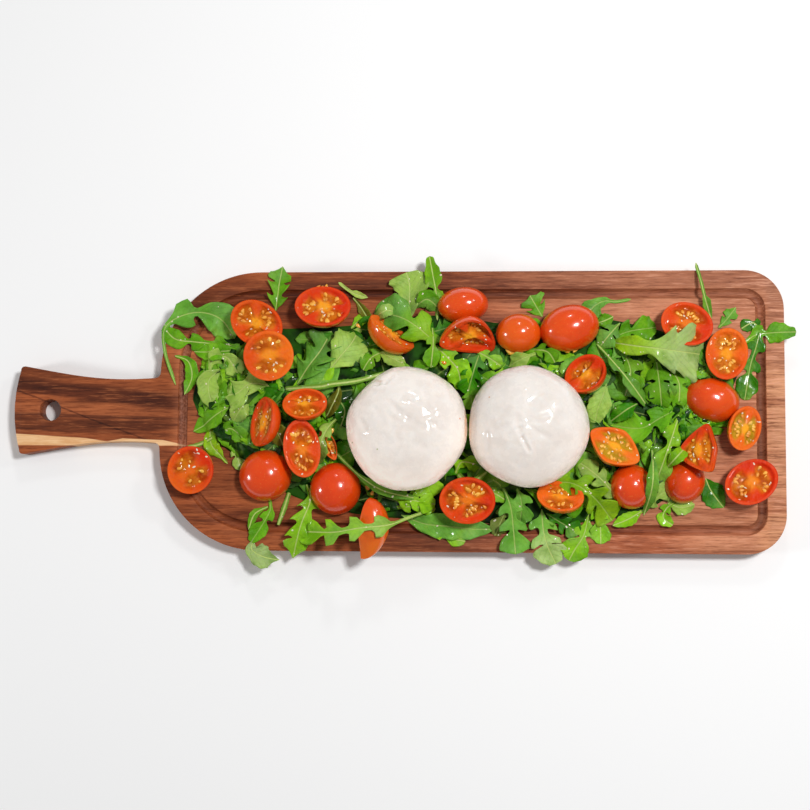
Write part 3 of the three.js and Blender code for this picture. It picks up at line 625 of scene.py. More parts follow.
def burrata(name, centre, radii, flats, phase, creases):
    """A sphere whose rings are moved to the settled ball's section, then creased."""
    ball = begin(name, bpy.ops.mesh.primitive_uv_sphere_add, segments=160, ring_count=90, radius=1)
    lower = BURRATA_HEIGHT * 1000 * BURRATA_LOWER_SHARE
    upper = BURRATA_HEIGHT * 1000 - lower
    base = BURRATA_BASE_RADIUS * 1000
    lowest = -math.acos((base / max(radii)) ** (1 / BURRATA_FULLNESS))
    flat_until = math.radians(UNDERSIDE_FROM)
    for vert in ball.data.vertices:
        angle = math.atan2(vert.co.y, vert.co.x)
        lift = math.asin(max(-1, min(1, vert.co.z)))
        above = max(0, (lift - flat_until) / (math.pi / 2 - flat_until))
        turn = lowest + (math.pi / 2 - lowest) * above
        share = max(0, math.cos(turn)) ** BURRATA_FULLNESS
        if lift < flat_until:
            share *= (lift + math.pi / 2) / (flat_until + math.pi / 2)
        height = lower * math.sin(turn) / math.sin(-lowest) if turn < 0 else upper * math.sin(turn)
        swell = sum(
            height * math.sin(waves * angle + turned * phase)
            for waves, turned, height in BALL_WAVES
        )
        pressed = (swell - pressed_in(angle, flats)) * math.cos(turn) ** 2
        place = Vector((
            centre[0] + (radii[0] + pressed) * share * math.cos(angle),
            centre[1] + (radii[1] + pressed) * share * math.sin(angle),
            BOARD_TOP * 1000 + BURRATA_REST * 1000 + lower + height,
        ))
        if lift > 0:
            soft = sum(noise.noise(place * scale) * height for scale, height in SKIN_LUMPS)
            pushed = soft - SKIN_SLACK - crease_depth(place.x, place.y, creases)
            place += vert.co * pushed * min(1, lift * 2)
        vert.co = place / 1000
    smooth(ball)
    return ball


def curd():
    """Wet white curd, a little translucent, tan low on its sides, with a few specks of dressing."""
    material, shader, start = new_finish("wet_curd", {
        "Subsurface Weight": 0.85,
        "Subsurface Radius": (1.0, 0.88, 0.78),
        "Subsurface Scale": 0.005,
        "Specular IOR Level": 0.26,
        "Coat Roughness": 0.07,
        # Strength of the painted glow on the shaded flanks
        "Emission Strength": 0.33,
    })
    place = object_place(start)
    x, y, z = parts_of(place)
    patch = cloud(place, 55, 2, 0.55)
    fine = cloud(place, 210, 3, 0.6)
    low = rise(0.054 - z, 0.0, 0.034)
    colour = mix(rise(patch, 0.35, 0.68), srgb(233, 227, 221), srgb(227, 219, 212))
    colour = mix(low * 0.6, colour, srgb(236, 216, 198))
    # Painted glow: emission on the flanks turned away from the key lamp stands in for light that
    # has come through the soft curd
    flank = rise(0.066 - z, 0.0, 0.018) * rise(z - 0.018, 0.0, 0.014)
    turned = rise(0.002 - y, 0.0, 0.03) * 0.6 + rise(0.02 - x, 0.0, 0.08) * 0.4
    painted_glow = mix(flank * turned, (0, 0, 0, 1), (0.97, 0.76, 0.61, 1))
    colour = mix(rise(cloud(place, 900, 1), 0.70, 0.78) * low * 0.35, colour, srgb(226, 160, 110))
    # Oil drawn in between the two balls, and the dried edge of the left one's fold
    between = rise(0.0010 - abs(x + 0.0008), 0.0, 0.0008) * rise(z, 0.034, 0.040)
    between = between * rise(0.004 - y, 0, 0.006) * rise(y + 0.024, 0, 0.01)
    colour = mix(between * 0.7, colour, srgb(206, 140, 72))
    fold = rise(0.0013 - abs(y - 0.0140 - abs(x + 0.050) * 0.4), 0.0, 0.0012)
    fold = fold * rise(0.0075 - abs(x + 0.050), 0, 0.003) * rise(fine, 0.35, 0.6)
    colour = mix(fold * 0.6, colour, srgb(196, 172, 148))
    for speck_x, speck_y, speck_colour in SPECKS:
        apart = ((x - speck_x) ** 2 + (y - speck_y) ** 2) ** 0.5
        colour = mix(rise(0.0006 - apart, 0.0, 0.0003) * 0.8, colour, srgb(*speck_colour))
    # Wet only in places, so that its glints have crisp uneven edges
    wet = rise(cloud(place, 170, 4, 0.7), 0.46, 0.51)
    # The taut shoulder of the right ball has a broad soft gloss
    from_shoulder = ((x - 0.0455) ** 2 + (y + 0.0020) ** 2) ** 0.5
    shoulder = rise(0.0125 - from_shoulder + (fine - 0.5) * 0.006, 0.0, 0.004)
    feed(
        shader,
        base_color=colour,
        roughness=(0.52 + patch * 0.25) * (1 - shoulder * 0.62),
        coat_weight=0.06 + wet * 0.94 + shoulder * (1 - wet) * 0.5,
        emission_color=painted_glow,
        normal=relief(cloud(place, 95, 3, 0.6) + fine * 0.08, 0.34, 0.0016),
    )
    return material


wet_curd = curd()
for name, ball in BURRATAS.items():
    piece = burrata(name + "_curd", **ball)
    piece.data.materials.append(wet_curd)
    hand_over(piece, "burrata", name)

# ------------------------------------------------------------------------------------------------
# Cherry tomato halves
# Ripe cherry tomatoes cut from stem to tip. Some lie with their wet cut face up, showing the wall,
# the yellow core and the seeds in their gel, and some lie with their glossy skin up.
# ------------------------------------------------------------------------------------------------
GEL_DEPTH = 2.6 * 0.72
TOMATO_FULLNESS = -0.08
# Centre of the cut face (z above the board), size, turn, how far it tips and towards what, and
# number of locules, as in the part; then how ripe it is from 0, orange, to 1, red, how yellow its
# core is, how many seeds show in a locule, and how empty its locules are
Tomato = namedtuple(
    "Tomato", "x y z length width depth turn tip toward locules ripe yellow seeds hollow"
)
TOMATO_HALVES = [Tomato(*row) for row in (
    (-127.5, 51.5, 13, 33, 27, 12, -35, 20, -68, 3, 0.65, 0.9, 7, 1.0),
    (-118.6, 31, 21.5, 30, 30, 12, 10, 9, -60, 2, 0.35, 0.5, 4, 0.7),
    (-87.5, 62, 13.5, 34, 27, 12, -5, 20, 90, 3, 0.95, 0.9, 9, 1.2),
    (-45.5, 46.5, 12, 32, 24, 12, -32, 64, 50, 2, 0.40, 0.7, 7, 0.9),
    (-97, 2.8, 18.3, 27, 20, 11, 0, 22, 100, 2, 0.55, 0.9, 4, 2.2),
    (-123, -8, 17, 30, 24, 11, 80, 50, 170, 2, 0.8, 0.8, 6, 1.0),
    (-98.5, -24, 17, 35, 22, 11, 98, 12, 20, 2, 0.75, 0.4, 7, 1.2),
    (-166.5, -37, 12.3, 29, 28.5, 12, 40, 8, 200, 2, 0.7, 0.1, 3, 0.5),
    (-122.2, -39.8, 3.5, 32, 31, 15, 20, 180, 20, 0, 0.9, 0, 0, 0),
    (-79.5, -47.5, 4, 30.5, 31.5, 15, 0, 180, 0, 0, 1.0, 0, 0, 0),
    (-58.5, -71, 10, 37, 22, 12, 67, 120, 166, 2, 0.3, 0, 0, 1.0),
    (-3.5, 64, 1.5, 31, 22, 14, -15, 176, 85, 0, 0.8, 0, 0, 0),
    (1, 43, 16, 34, 25, 11.5, -10, 48, -80, 3, 0.85, 0.9, 4, 2.3),
    (30, 45.5, 7, 27, 24, 13, 20, 160, -80, 0, 0.5, 0, 0, 0),
    (60.5, 49, 6, 36, 28, 15, -5, 170, -85, 0, 0.85, 0, 0, 0),
    (69.3, 21.2, 15, 26, 24, 12, 40, 30, 135, 2, 0.85, 0.9, 2, 1.7),
    (129.5, 51, 12.6, 31, 27, 12, -20, 14, 80, 2, 0.85, 0.3, 9, 1.0),
    (152.5, 33, 13, 31, 24.5, 12, 85, 10, 150, 2, 0.45, 0.7, 8, 0.8),
    (144.5, 6.5, 1, 34, 27, 15, -15, 180, -15, 0, 0.8, 0, 0, 0),
    (162.8, -11, 11.6, 27, 20, 11, 70, 16, 0, 2, 0.30, 1.0, 8, 0.8),
    (166, -42.5, 12.4, 32, 26, 12, 30, 14, 120, 2, 0.95, 0.5, 8, 1.2),
    (86.5, -22, 17, 33, 24, 11, -33, 22, 60, 2, 0.12, 1.0, 8, 0.8),
    (96.8, -45.3, 3, 27, 26, 15, 90, 180, 90, 0, 0.9, 0, 0, 0),
    (128.3, -42.5, 2, 26, 24, 14, 60, 180, 60, 0, 0.95, 0, 0, 0),
    (133.5, -24.2, 20, 29, 24, 12, 95, 38, 165, 2, 0.8, 0.8, 5, 0.8),
    (54.7, -51.3, 12.5, 28, 20, 11, -12, 28, 100, 2, 0.3, 0.6, 5, 1.2),
    (0, -54.5, 17, 33, 28, 13, 0, 12, -90, 3, 0.85, 0.35, 9, 1.1),
    (-83.5, -21.5, 9.5, 20, 9, 7, -65, 10, 60, 2, 0.3, 0.9, 8, 1.4),
)]
# Halves that were cut aslant: the end of the length that runs out narrower, or 0 for both, by how
# much, and how far the ends are bent to one side, as shares of half the width
TRIMS = {
    11: (-1, 0.8, -0.3),
    13: (0, 0.1, -0.5),
    22: (0, 0.4, 0),
    25: (0, 0.45, -0.6),
    28: (1, 0.3, 0),
}
# How far the walls between the locules are turned from the length, in degrees
WALL_TURNS = {7: 80, 18: 90, 21: 75}
# How much riper the stem end is than the tip
RIPER_END = {11: 0.55, 2: -0.35, 8: 0.35, 18: -0.3, 22: -0.2}


def locule_share(angle, locules):
    """1 in the middle of a locule and 0 on the walls between them."""
    wave = abs(math.sin(locules / 2 * angle))
    share = max(0, min(1, (wave - 0.2) / 0.5))
    return share * share * (3 - 2 * share)


def hollow_at(radius, angle, locules):
    """How hollow the cut face is, from 0 on its walls to 1 in the middle of a locule."""
    if not locules:
        return 0
    inner = max(0, min(1, (radius - 0.16) / 0.18))
    outer = max(0, min(1, (0.86 - radius) / 0.16))
    return locule_share(angle, locules) * inner * outer * (2 - outer)


def tomato_half(locules):
    """Half a unit sphere whose upper half is pressed flat as the cut face, at z = 0."""
    name = f"half_{locules}"
    half = begin(name, bpy.ops.mesh.primitive_uv_sphere_add, segments=80, ring_count=56, radius=1)
    pick(half, "VERT", lambda vert: vert.co.z > -SAME_PLACE)
    bpy.ops.transform.resize(value=(1, 1, 0), center_override=(0, 0, 0))
    leave_edit_mode()
    for face in half.data.polygons:
        face.material_index = int(face.center.z > -SAME_PLACE)
        face.use_smooth = True
    chart = half.data.uv_layers[0]
    chart.name = "cut_face"
    for loop, mark in zip(half.data.loops, chart.data):
        place = half.data.vertices[loop.vertex_index].co
        mark.uv = (0.5 + place.x / 2, 0.5 + place.y / 2)
    for vert in half.data.vertices:
        radius = math.hypot(vert.co.x, vert.co.y)
        angle = math.atan2(vert.co.y, vert.co.x)
        if vert.co.z > -SAME_PLACE:
            vert.co.z = -hollow_at(radius, angle, locules)
        elif radius > 0:
            vert.co.x *= radius**TOMATO_FULLNESS
            vert.co.y *= radius**TOMATO_FULLNESS
    return half


def trimmed(number, along, across):
    """Where a place of the unit half comes to lie across it once the half is cut aslant."""
    end, narrowed, bend = TRIMS.get(number, (0, 0, 0))
    toward_end = max(0, along * end) if end else abs(along)
    return across * (1 - narrowed * toward_end ** 1.4) + bend * along ** 2


def cut_face(tomato):
    """The matrix from a place on the cut face to its place on the board, in millimetres."""
    toward = math.radians(tomato.toward)
    axis = Vector((-math.sin(toward), math.cos(toward), 0))
    return (
        Matrix.Translation((tomato.x, tomato.y, BOARD_TOP * 1000 + tomato.z))
        @ Matrix.Rotation(math.radians(tomato.tip), 4, axis)
        @ Matrix.Rotation(math.radians(tomato.turn), 4, "Z")
    )


def wall_turn(number):
    return math.radians(WALL_TURNS.get(number, 0))


def place_in_half(number, tomato, radius, angle):
    """A place on the cut face by its share of the radius, and how deep the gel is sunk there."""
    along = radius * math.cos(angle)
    across = trimmed(number, along, radius * math.sin(angle))
    sunk = GEL_DEPTH * tomato.hollow * hollow_at(radius, angle - wall_turn(number), tomato.locules)
    return along * tomato.length / 2, across * tomato.width / 2, sunk


def tomato_skin():
    """Thin glossy skin over red flesh, yellower towards the stem end."""
    material, shader, start = new_finish("tomato_skin", {
        "Roughness": 0.2,
        "Specular IOR Level": 0.4,
        "Coat Weight": 0.55,
        "Coat Roughness": 0.05,
        "Subsurface Weight": 0.12,
        "Subsurface Radius": (1.0, 0.2, 0.05),
        "Subsurface Scale": 0.002,
    })
    place = object_place(start)
    ripe = carried(start, "ripeness")
    patch = cloud(place, 60, 2)
    orange = mix(patch, srgb(234, 118, 14), srgb(226, 94, 14))
    red = mix(patch, srgb(216, 50, 6), srgb(230, 76, 18))
    colour = mix(ripe, orange, red)
    freckles = rise(cloud(place, 900, 1), 0.64, 0.74)
    colour = mix(freckles * 0.3, colour, srgb(238, 128, 54))
    colour = tint(rise(cloud(place, 130, 2), 0.5, 0.75) * 0.3, colour, (0.75, 0.6, 0.5, 1))
    feed(shader, base_color=colour, normal=relief(cloud(place, 240, 2), 0.10, 0.001))
    return material


def tomato_flesh(locules):
    """The cut face: smooth wall, juicy yellow-orange core, and locules full of wet olive gel."""
    material, shader, start = new_finish(f"tomato_flesh_{locules}", {
        "Specular IOR Level": 0.06,
        "Coat Roughness": 0.03,
        "Subsurface Weight": 0.15,
        "Subsurface Radius": (1.0, 0.3, 0.08),
        "Subsurface Scale": 0.002,
    })
    chart = start.node("UVMap", {"uv_map": "cut_face"})
    across, up = (part * 2 - 1 for part in parts_of(chart, "XY"))
    place = object_place(start)
    patch = cloud(place, 150, 3, 0.6)
    broad = cloud(place, 75, 1)
    ripple = (patch - 0.5) * 0.26 + (broad - 0.5) * 0.22
    from_middle = (across * across + up * up) ** 0.5
    radius = from_middle + ripple
    ripe = carried(start, "ripeness")
    yellow = carried(start, "yellow_core")
    wall = mix(ripe, srgb(236, 114, 30), srgb(212, 48, 16))
    inner = mix(ripe, srgb(238, 128, 34), srgb(218, 70, 22))
    core = mix(yellow, inner, srgb(244, 164, 36))
    gel = mix(rise(patch, 0.36, 0.64), srgb(150, 44, 2), srgb(204, 112, 14))
    gel = mix(yellow * 0.35, gel, srgb(228, 142, 30))
    olive = mix(patch, srgb(122, 108, 8), srgb(200, 176, 40))
    gel = mix(rise(yellow, 0.92, 1.0) * 0.75, gel, olive)
    colour = mix(rise(0.66 - radius, 0.0, 0.30), wall, inner)
    colour = mix(rise(0.46 - radius, 0.0, 0.34), colour, core)
    if locules:
        turn = up.node("Math", {"operation": "ARCTAN2"}, {0: up, 1: across})
        half_turns = turn * (locules / 2)
        wave = abs(half_turns.node("Math", {"operation": "SINE"}, {0: half_turns}))
        pocket = rise(wave + ripple, 0.20, 0.66) * rise(radius, 0.16, 0.36)
        colour = mix(pocket * rise(0.84 - radius, 0, 0.20) * 0.92, colour, gel)
    under_skin = rise(from_middle, 0.88, 0.93) * rise(0.985 - from_middle, 0, 0.03)
    colour = mix(under_skin * 0.12, colour, srgb(240, 132, 60))
    rim = mix(ripe, srgb(214, 92, 24), srgb(196, 40, 14))
    colour = mix(rise(from_middle, 0.975, 0.998), colour, rim)
    feed(
        shader,
        base_color=colour,
        roughness=0.30 + patch * 0.2,
        coat_weight=rise(cloud(place, 300, 2), 0.48, 0.60) * 0.7,
        normal=relief(cloud(place, 330, 2, 0.6) + patch * 0.8, 0.55, 0.0016),
    )
    return material


skin = tomato_skin()
templates = {locules: tomato_half(locules) for locules in (0, 2, 3)}
for locules, template in templates.items():
    template.data.materials.append(skin)
    template.data.materials.append(tomato_flesh(locules))
for number, tomato in enumerate(TOMATO_HALVES, 1):
    half = templates[tomato.locules].copy()
    half.data = templates[tomato.locules].data.copy()
    half.name = f"tomato_{number:02d}_flesh"
    bpy.context.collection.objects.link(half)
    half.data.transform(Matrix.Rotation(wall_turn(number), 4, "Z"))
    ripeness = []
    for vert in half.data.vertices:
        place = vert.co
        ripeness.append(max(0, min(1, tomato.ripe + RIPER_END.get(number, 0.12) * place.x)))
        radius = math.hypot(place.x, place.y)
        angle = math.atan2(place.y, place.x) - wall_turn(number)
        emptied = hollow_at(radius, angle, tomato.locules)
        if tomato.locules and radius < 0.87 and abs(place.z + emptied) < SAME_PLACE:
            gel = noise.noise(Vector((place.x * 4, place.y * 4, number * 3.7)))
            drained = GEL_DEPTH * tomato.hollow + gel * 1.1
            ridge = noise.noise(Vector((place.x * 2.2, place.y * 2.2, number * 5.1))) * 0.5
            raised = min(0.25, ridge) * (1 - emptied) * (0.9 - radius)
            place.z = (raised - emptied * drained) / tomato.depth
        place.y = trimmed(number, place.x, place.y)
    size = Matrix.Diagonal((tomato.length / 2, tomato.width / 2, tomato.depth, 1))
    half.data.transform(cut_face(tomato) @ size)
    half.data.transform(Matrix.Scale(0.001, 4))
    for name, values in (("ripeness", ripeness), ("yellow_core", [tomato.yellow] * len(ripeness))):
        tone = half.data.attributes.new(name, "FLOAT", "POINT")
        tone.data.foreach_set("value", values)
    smooth(half, 50)
    hand_over(half, "tomato", f"tomato_half_{number:02d}")
for template in templates.values():
    bpy.data.objects.remove(template)

# ------------------------------------------------------------------------------------------------
# Tomato seeds
# Flat pale seeds in their gel, 3.4 mm long, with their points towards the core. A few have slipped
# out on to the board and the leaves.
# ------------------------------------------------------------------------------------------------
SEED_SIZE = (1.6, 1.05, 0.6)
SEED_RINGS = 5
# Directions of the sides of seeds and drops
ROUND = [2 * math.pi * step / 8 for step in range(8)]
# Place (z above the board) and size in seeds, where the bigger ones are lumps of pulp
SPILLED_SEEDS = [
    (-92, 75.5, 0.6, 1), (-89.6, 75.0, 0.6, 1), (-87, 75.8, 0.6, 1), (-85.2, 74.6, 0.6, 1),
    (-66, 50, 13, 1), (-14.5, 28, 10, 1), (-83, -14, 12, 1), (-85, -17, 12, 1), (-81, -13, 12, 1),
    (-60, -47, 8, 1), (-57, -50, 8, 1), (24.5, 35.5, 9, 1.8), (27.5, 34.0, 8.6, 2.0),
    (31, 35.0, 9, 1.7), (53, 36.6, 7.0, 1.5), (58.5, 36.2, 7.0, 1.7), (64, 36.6, 7.0, 1.5),
]


def joined(name, bodies, material):
    """One mesh of many small closed bodies, each a list of points and a list of faces."""
    points = []
    faces = []
    for body_points, body_faces in bodies:
        start = len(points)
        points += body_points
        faces += [tuple(start + corner for corner in face) for face in body_faces]
    mesh = bpy.data.meshes.new(name)
    mesh.from_pydata([tuple(point) for point in points], [], faces)
    mesh.materials.append(material)
    mesh.shade_smooth()
    piece = bpy.data.objects.new(name, mesh)
    bpy.context.collection.objects.link(piece)
    return piece


def small_body(matrix, tip, rings, foot):
    """A closed body from its tip over rings of points to its foot, taken to its place."""
    places = [tip] + [place for ring in rings for place in ring] + [foot]
    points = [(matrix @ Vector(place)) / 1000 for place in places]
    sides = len(rings[0])
    last = len(points) - 1 - sides
    faces = []
    for step in range(sides):
        after = (step + 1) % sides
        faces.append((0, 1 + step, 1 + after))
        for low in range(1, last, sides):
            faces.append((low + after, low + step, low + sides + step, low + sides + after))
        faces.append((last + after, last + step, len(points) - 1))
    return points, faces


def seed_body(matrix):
    """A flat drop with its point along +X."""
    rings = []
    for ring in range(1, SEED_RINGS):
        lift = math.pi * ring / SEED_RINGS
        girth = math.sin(lift) * (1 - 0.35 * math.cos(lift))
        rings.append([
            (math.cos(lift), girth * math.cos(turn), girth * math.sin(turn)) for turn in ROUND
        ])
    return small_body(matrix, (1.25, 0, 0), rings, (-1, 0, 0))


def seed_finish():
    material, shader, start = new_finish("tomato_seed", {
        "Coat Weight": 0.9, "Coat Roughness": 0.03,
    })
    place = object_place(start)
    colour = mix(rise(cloud(place, 150, 1), 0.3, 0.7), srgb(226, 136, 24), srgb(248, 190, 72))
    feed(
        shader,
        base_color=colour,
        roughness=0.3 + cloud(place, 500, 1) * 0.2,
        normal=relief(cloud(place, 700, 1), 0.4, 0.0006),
    )
    return material


draw = random.Random(41)
seed_bodies = []
for number, tomato in enumerate(TOMATO_HALVES, 1):
    for locule in range(tomato.locules if tomato.seeds else 0):
        middle = (2 * locule + 1) * math.pi / tomato.locules + wall_turn(number)
        fan = 1.05 if tomato.locules == 2 else 0.66
        for seed in range(tomato.seeds):
            spread = (seed + 0.5) / tomato.seeds * 2 - 1
            angle = middle + spread * fan + draw.uniform(-0.08, 0.08)
            radius = draw.uniform(0.34, 0.70)
            along, across, sunk = place_in_half(number, tomato, radius, angle)
            size = draw.uniform(0.8, 1.1) * min(1, tomato.length / 22)
            seed_bodies.append(seed_body(
                cut_face(tomato)
                @ Matrix.Translation((along, across, -sunk + draw.uniform(-0.15, 0.25)))
                @ Matrix.Rotation(angle + math.pi + draw.uniform(-0.7, 0.7), 4, "Z")
                @ Matrix.Rotation(draw.uniform(-0.4, 0.4), 4, "X")
                @ Matrix.Diagonal((*(Vector(SEED_SIZE) * size), 1))
            ))
for x, y, z, size in SPILLED_SEEDS:
    seed_bodies.append(seed_body(
        Matrix.Translation((x, y, BOARD_TOP * 1000 + z))
        @ Matrix.Rotation(draw.uniform(0, 6), 4, "Z")
        @ Matrix.Diagonal((*(Vector(SEED_SIZE) * size), 1))
    ))
seed_piece = joined("tomato_seeds", seed_bodies, seed_finish())
hand_over(seed_piece, "tomato")

# ------------------------------------------------------------------------------------------------
# Rocket bed
# The imported middle of the salad: leaves pressed so close that only their folds show in the dark
# between the leaves on top. Its near-black green is painted shade.
# ------------------------------------------------------------------------------------------------
BED_HEIGHT = 8
BED_SINK = 2.4
BED_LEAST = 0.0004
FOLD_HEIGHT = 1.6
# The bed's x, and the y of its lower and its upper edge there, in millimetres
BED_OUTLINE = [
    (-168, 6, 10), (-158, -14, 40), (-138, -30, 50), (-110, -50, 50), (-70, -62, 52),
    (-20, -66, 58), (30, -68, 52), (75, -66, 56), (108, -58, 50), (130, -40, 44),
    (144, -16, 42), (153, 4, 38), (160, 20, 30),
]
BED_STATIONS = 24


def spline(points, share):
    """The point at a share of the way along the smooth curve through these points."""
    place = share * (len(points) - 1)
    index = min(int(place), len(points) - 2)
    t = place - index
    before = points[max(index - 1, 0)]
    here, there = points[index], points[index + 1]
    after = points[min(index + 2, len(points) - 1)]
    return tuple(
        (2 * b - 2 * c + (c - a) / 2 + (d - b) / 2) * t**3
        + (-3 * b + 3 * c - (c - a) - (d - b) / 2) * t**2
        + (c - a) / 2 * t
        + b
        for a, b, c, d in zip(before, here, there, after)
    )


BED_SECTIONS = [spline(BED_OUTLINE, i / BED_STATIONS) for i in range(BED_STATIONS + 1)]


def bed_rise(x, across, share):
    """Height of the bed, across running from -1 on its lower edge to 1 on its upper."""
    ends = math.sin(max(0, min(1, share)) * math.pi) ** 0.35
    uneven = 1 + 0.16 * math.sin(x / 11) * math.cos(2.4 * across + x / 23)
    return BED_HEIGHT * ends * uneven * (1 - abs(across) ** 3)


def bed_height(x, y):
    for index, (here, there) in enumerate(zip(BED_SECTIONS, BED_SECTIONS[1:])):
        if here[0] <= x < there[0]:
            between = (x - here[0]) / (there[0] - here[0])
            lower, upper = (a + (b - a) * between for a, b in zip(here[1:], there[1:]))
            across = (y - lower) / (upper - lower) * 2 - 1
            if abs(across) < 1:
                return bed_rise(x, across, (index + between) / BED_STATIONS)
    return 0


bed = begin(
    "rocket_bed", bpy.ops.mesh.primitive_grid_add, x_subdivisions=220, y_subdivisions=70, size=2
)
for vert in bed.data.vertices:
    share = 0.5 + vert.co.x / 2
    across = vert.co.y
    x, lower, upper = spline(BED_OUTLINE, share)
    y = lower + (upper - lower) * (across + 1) / 2
    fold = noise.ridged_multi_fractal(Vector((x / 14, y / 14, 3)), 1, 2, 3, 1, 2)
    height = bed_rise(x, across, share) - BED_SINK + (fold - 1.4) * FOLD_HEIGHT
    vert.co = (x / 1000, y / 1000, BOARD_TOP + max(BED_LEAST, height / 1000))
pick(bed, "FACE", lambda face: True)
bpy.ops.mesh.extrude_region_move(TRANSFORM_OT_translate={"value": (0, 0, -0.0001)})
bpy.ops.transform.resize(value=(1, 1, 0), center_override=(0, 0, BOARD_TOP + 0.0002))
bpy.ops.mesh.select_all(action="SELECT")
bpy.ops.mesh.remove_doubles(threshold=0.000001)
bpy.ops.mesh.normals_make_consistent(inside=False)
leave_edit_mode()
smooth(bed)


def painted_shade_bed_finish():
    material, shader, start = new_finish("rocket_bed", {"Specular IOR Level": 0.15})
    place = object_place(start)
    patch = cloud(place, 70, 3)
    # Near-black greens: painted shade for the gaps between the leaves on top
    colour = mix(rise(patch, 0.35, 0.65), srgb(4, 22, 0), srgb(32, 80, 2))
    feed(
        shader,
        base_color=colour,
        roughness=0.6 + patch * 0.2,
        normal=relief(cloud(place, 160, 3), 0.5, 0.002),
    )
    return material


bed.data.materials.append(painted_shade_bed_finish())
hand_over(bed, "salad_leaf", "rocket_salad")

# ------------------------------------------------------------------------------------------------
# Rocket leaves
# Whole rocket leaves: a thin bare stem that runs on as a pale rib, and a soft satin blade, plain or
# with round side lobes. They are tossed on the bed and arch over and under each other.
# ------------------------------------------------------------------------------------------------
LEAF_THICKNESS = 0.42
STEM_HALF_WIDTH = 0.95
LEAF_CLEARANCE = 0.9
LEAF_SINK = 0.8
EDGE_CLEARANCE = 0.35
LEAF_BUCKLE = 1.5
LEAF_RUFFLE = 0.20
RIB_SUNK = 0.25
RIB_HALF_WIDTH = 0.8
BLADE_SUNK = 0.12
STEMMY_WIDTH = 9
CHART_WIDTH = 60
CHART_LENGTH = 200
COLUMNS = (-1, -0.78, -0.52, -0.26, -0.09, 0, 0.09, 0.26, 0.52, 0.78, 1)
TONES = {
    # deep is painted shade: its near-black green stands in for the shade on leaves low in the heap
    "deep": (16, 58, 0),
    "dark": (52, 124, 2),
    "mid": (104, 166, 22),
    "bright": (134, 190, 26),
    "pale": (164, 196, 90),
    "grey": (170, 194, 120),
    "lime": (146, 188, 22),
    "olive": (108, 106, 26),
    "blue": (110, 170, 60),
    "stem": (174, 198, 92),
    "rib": (104, 160, 48),
}
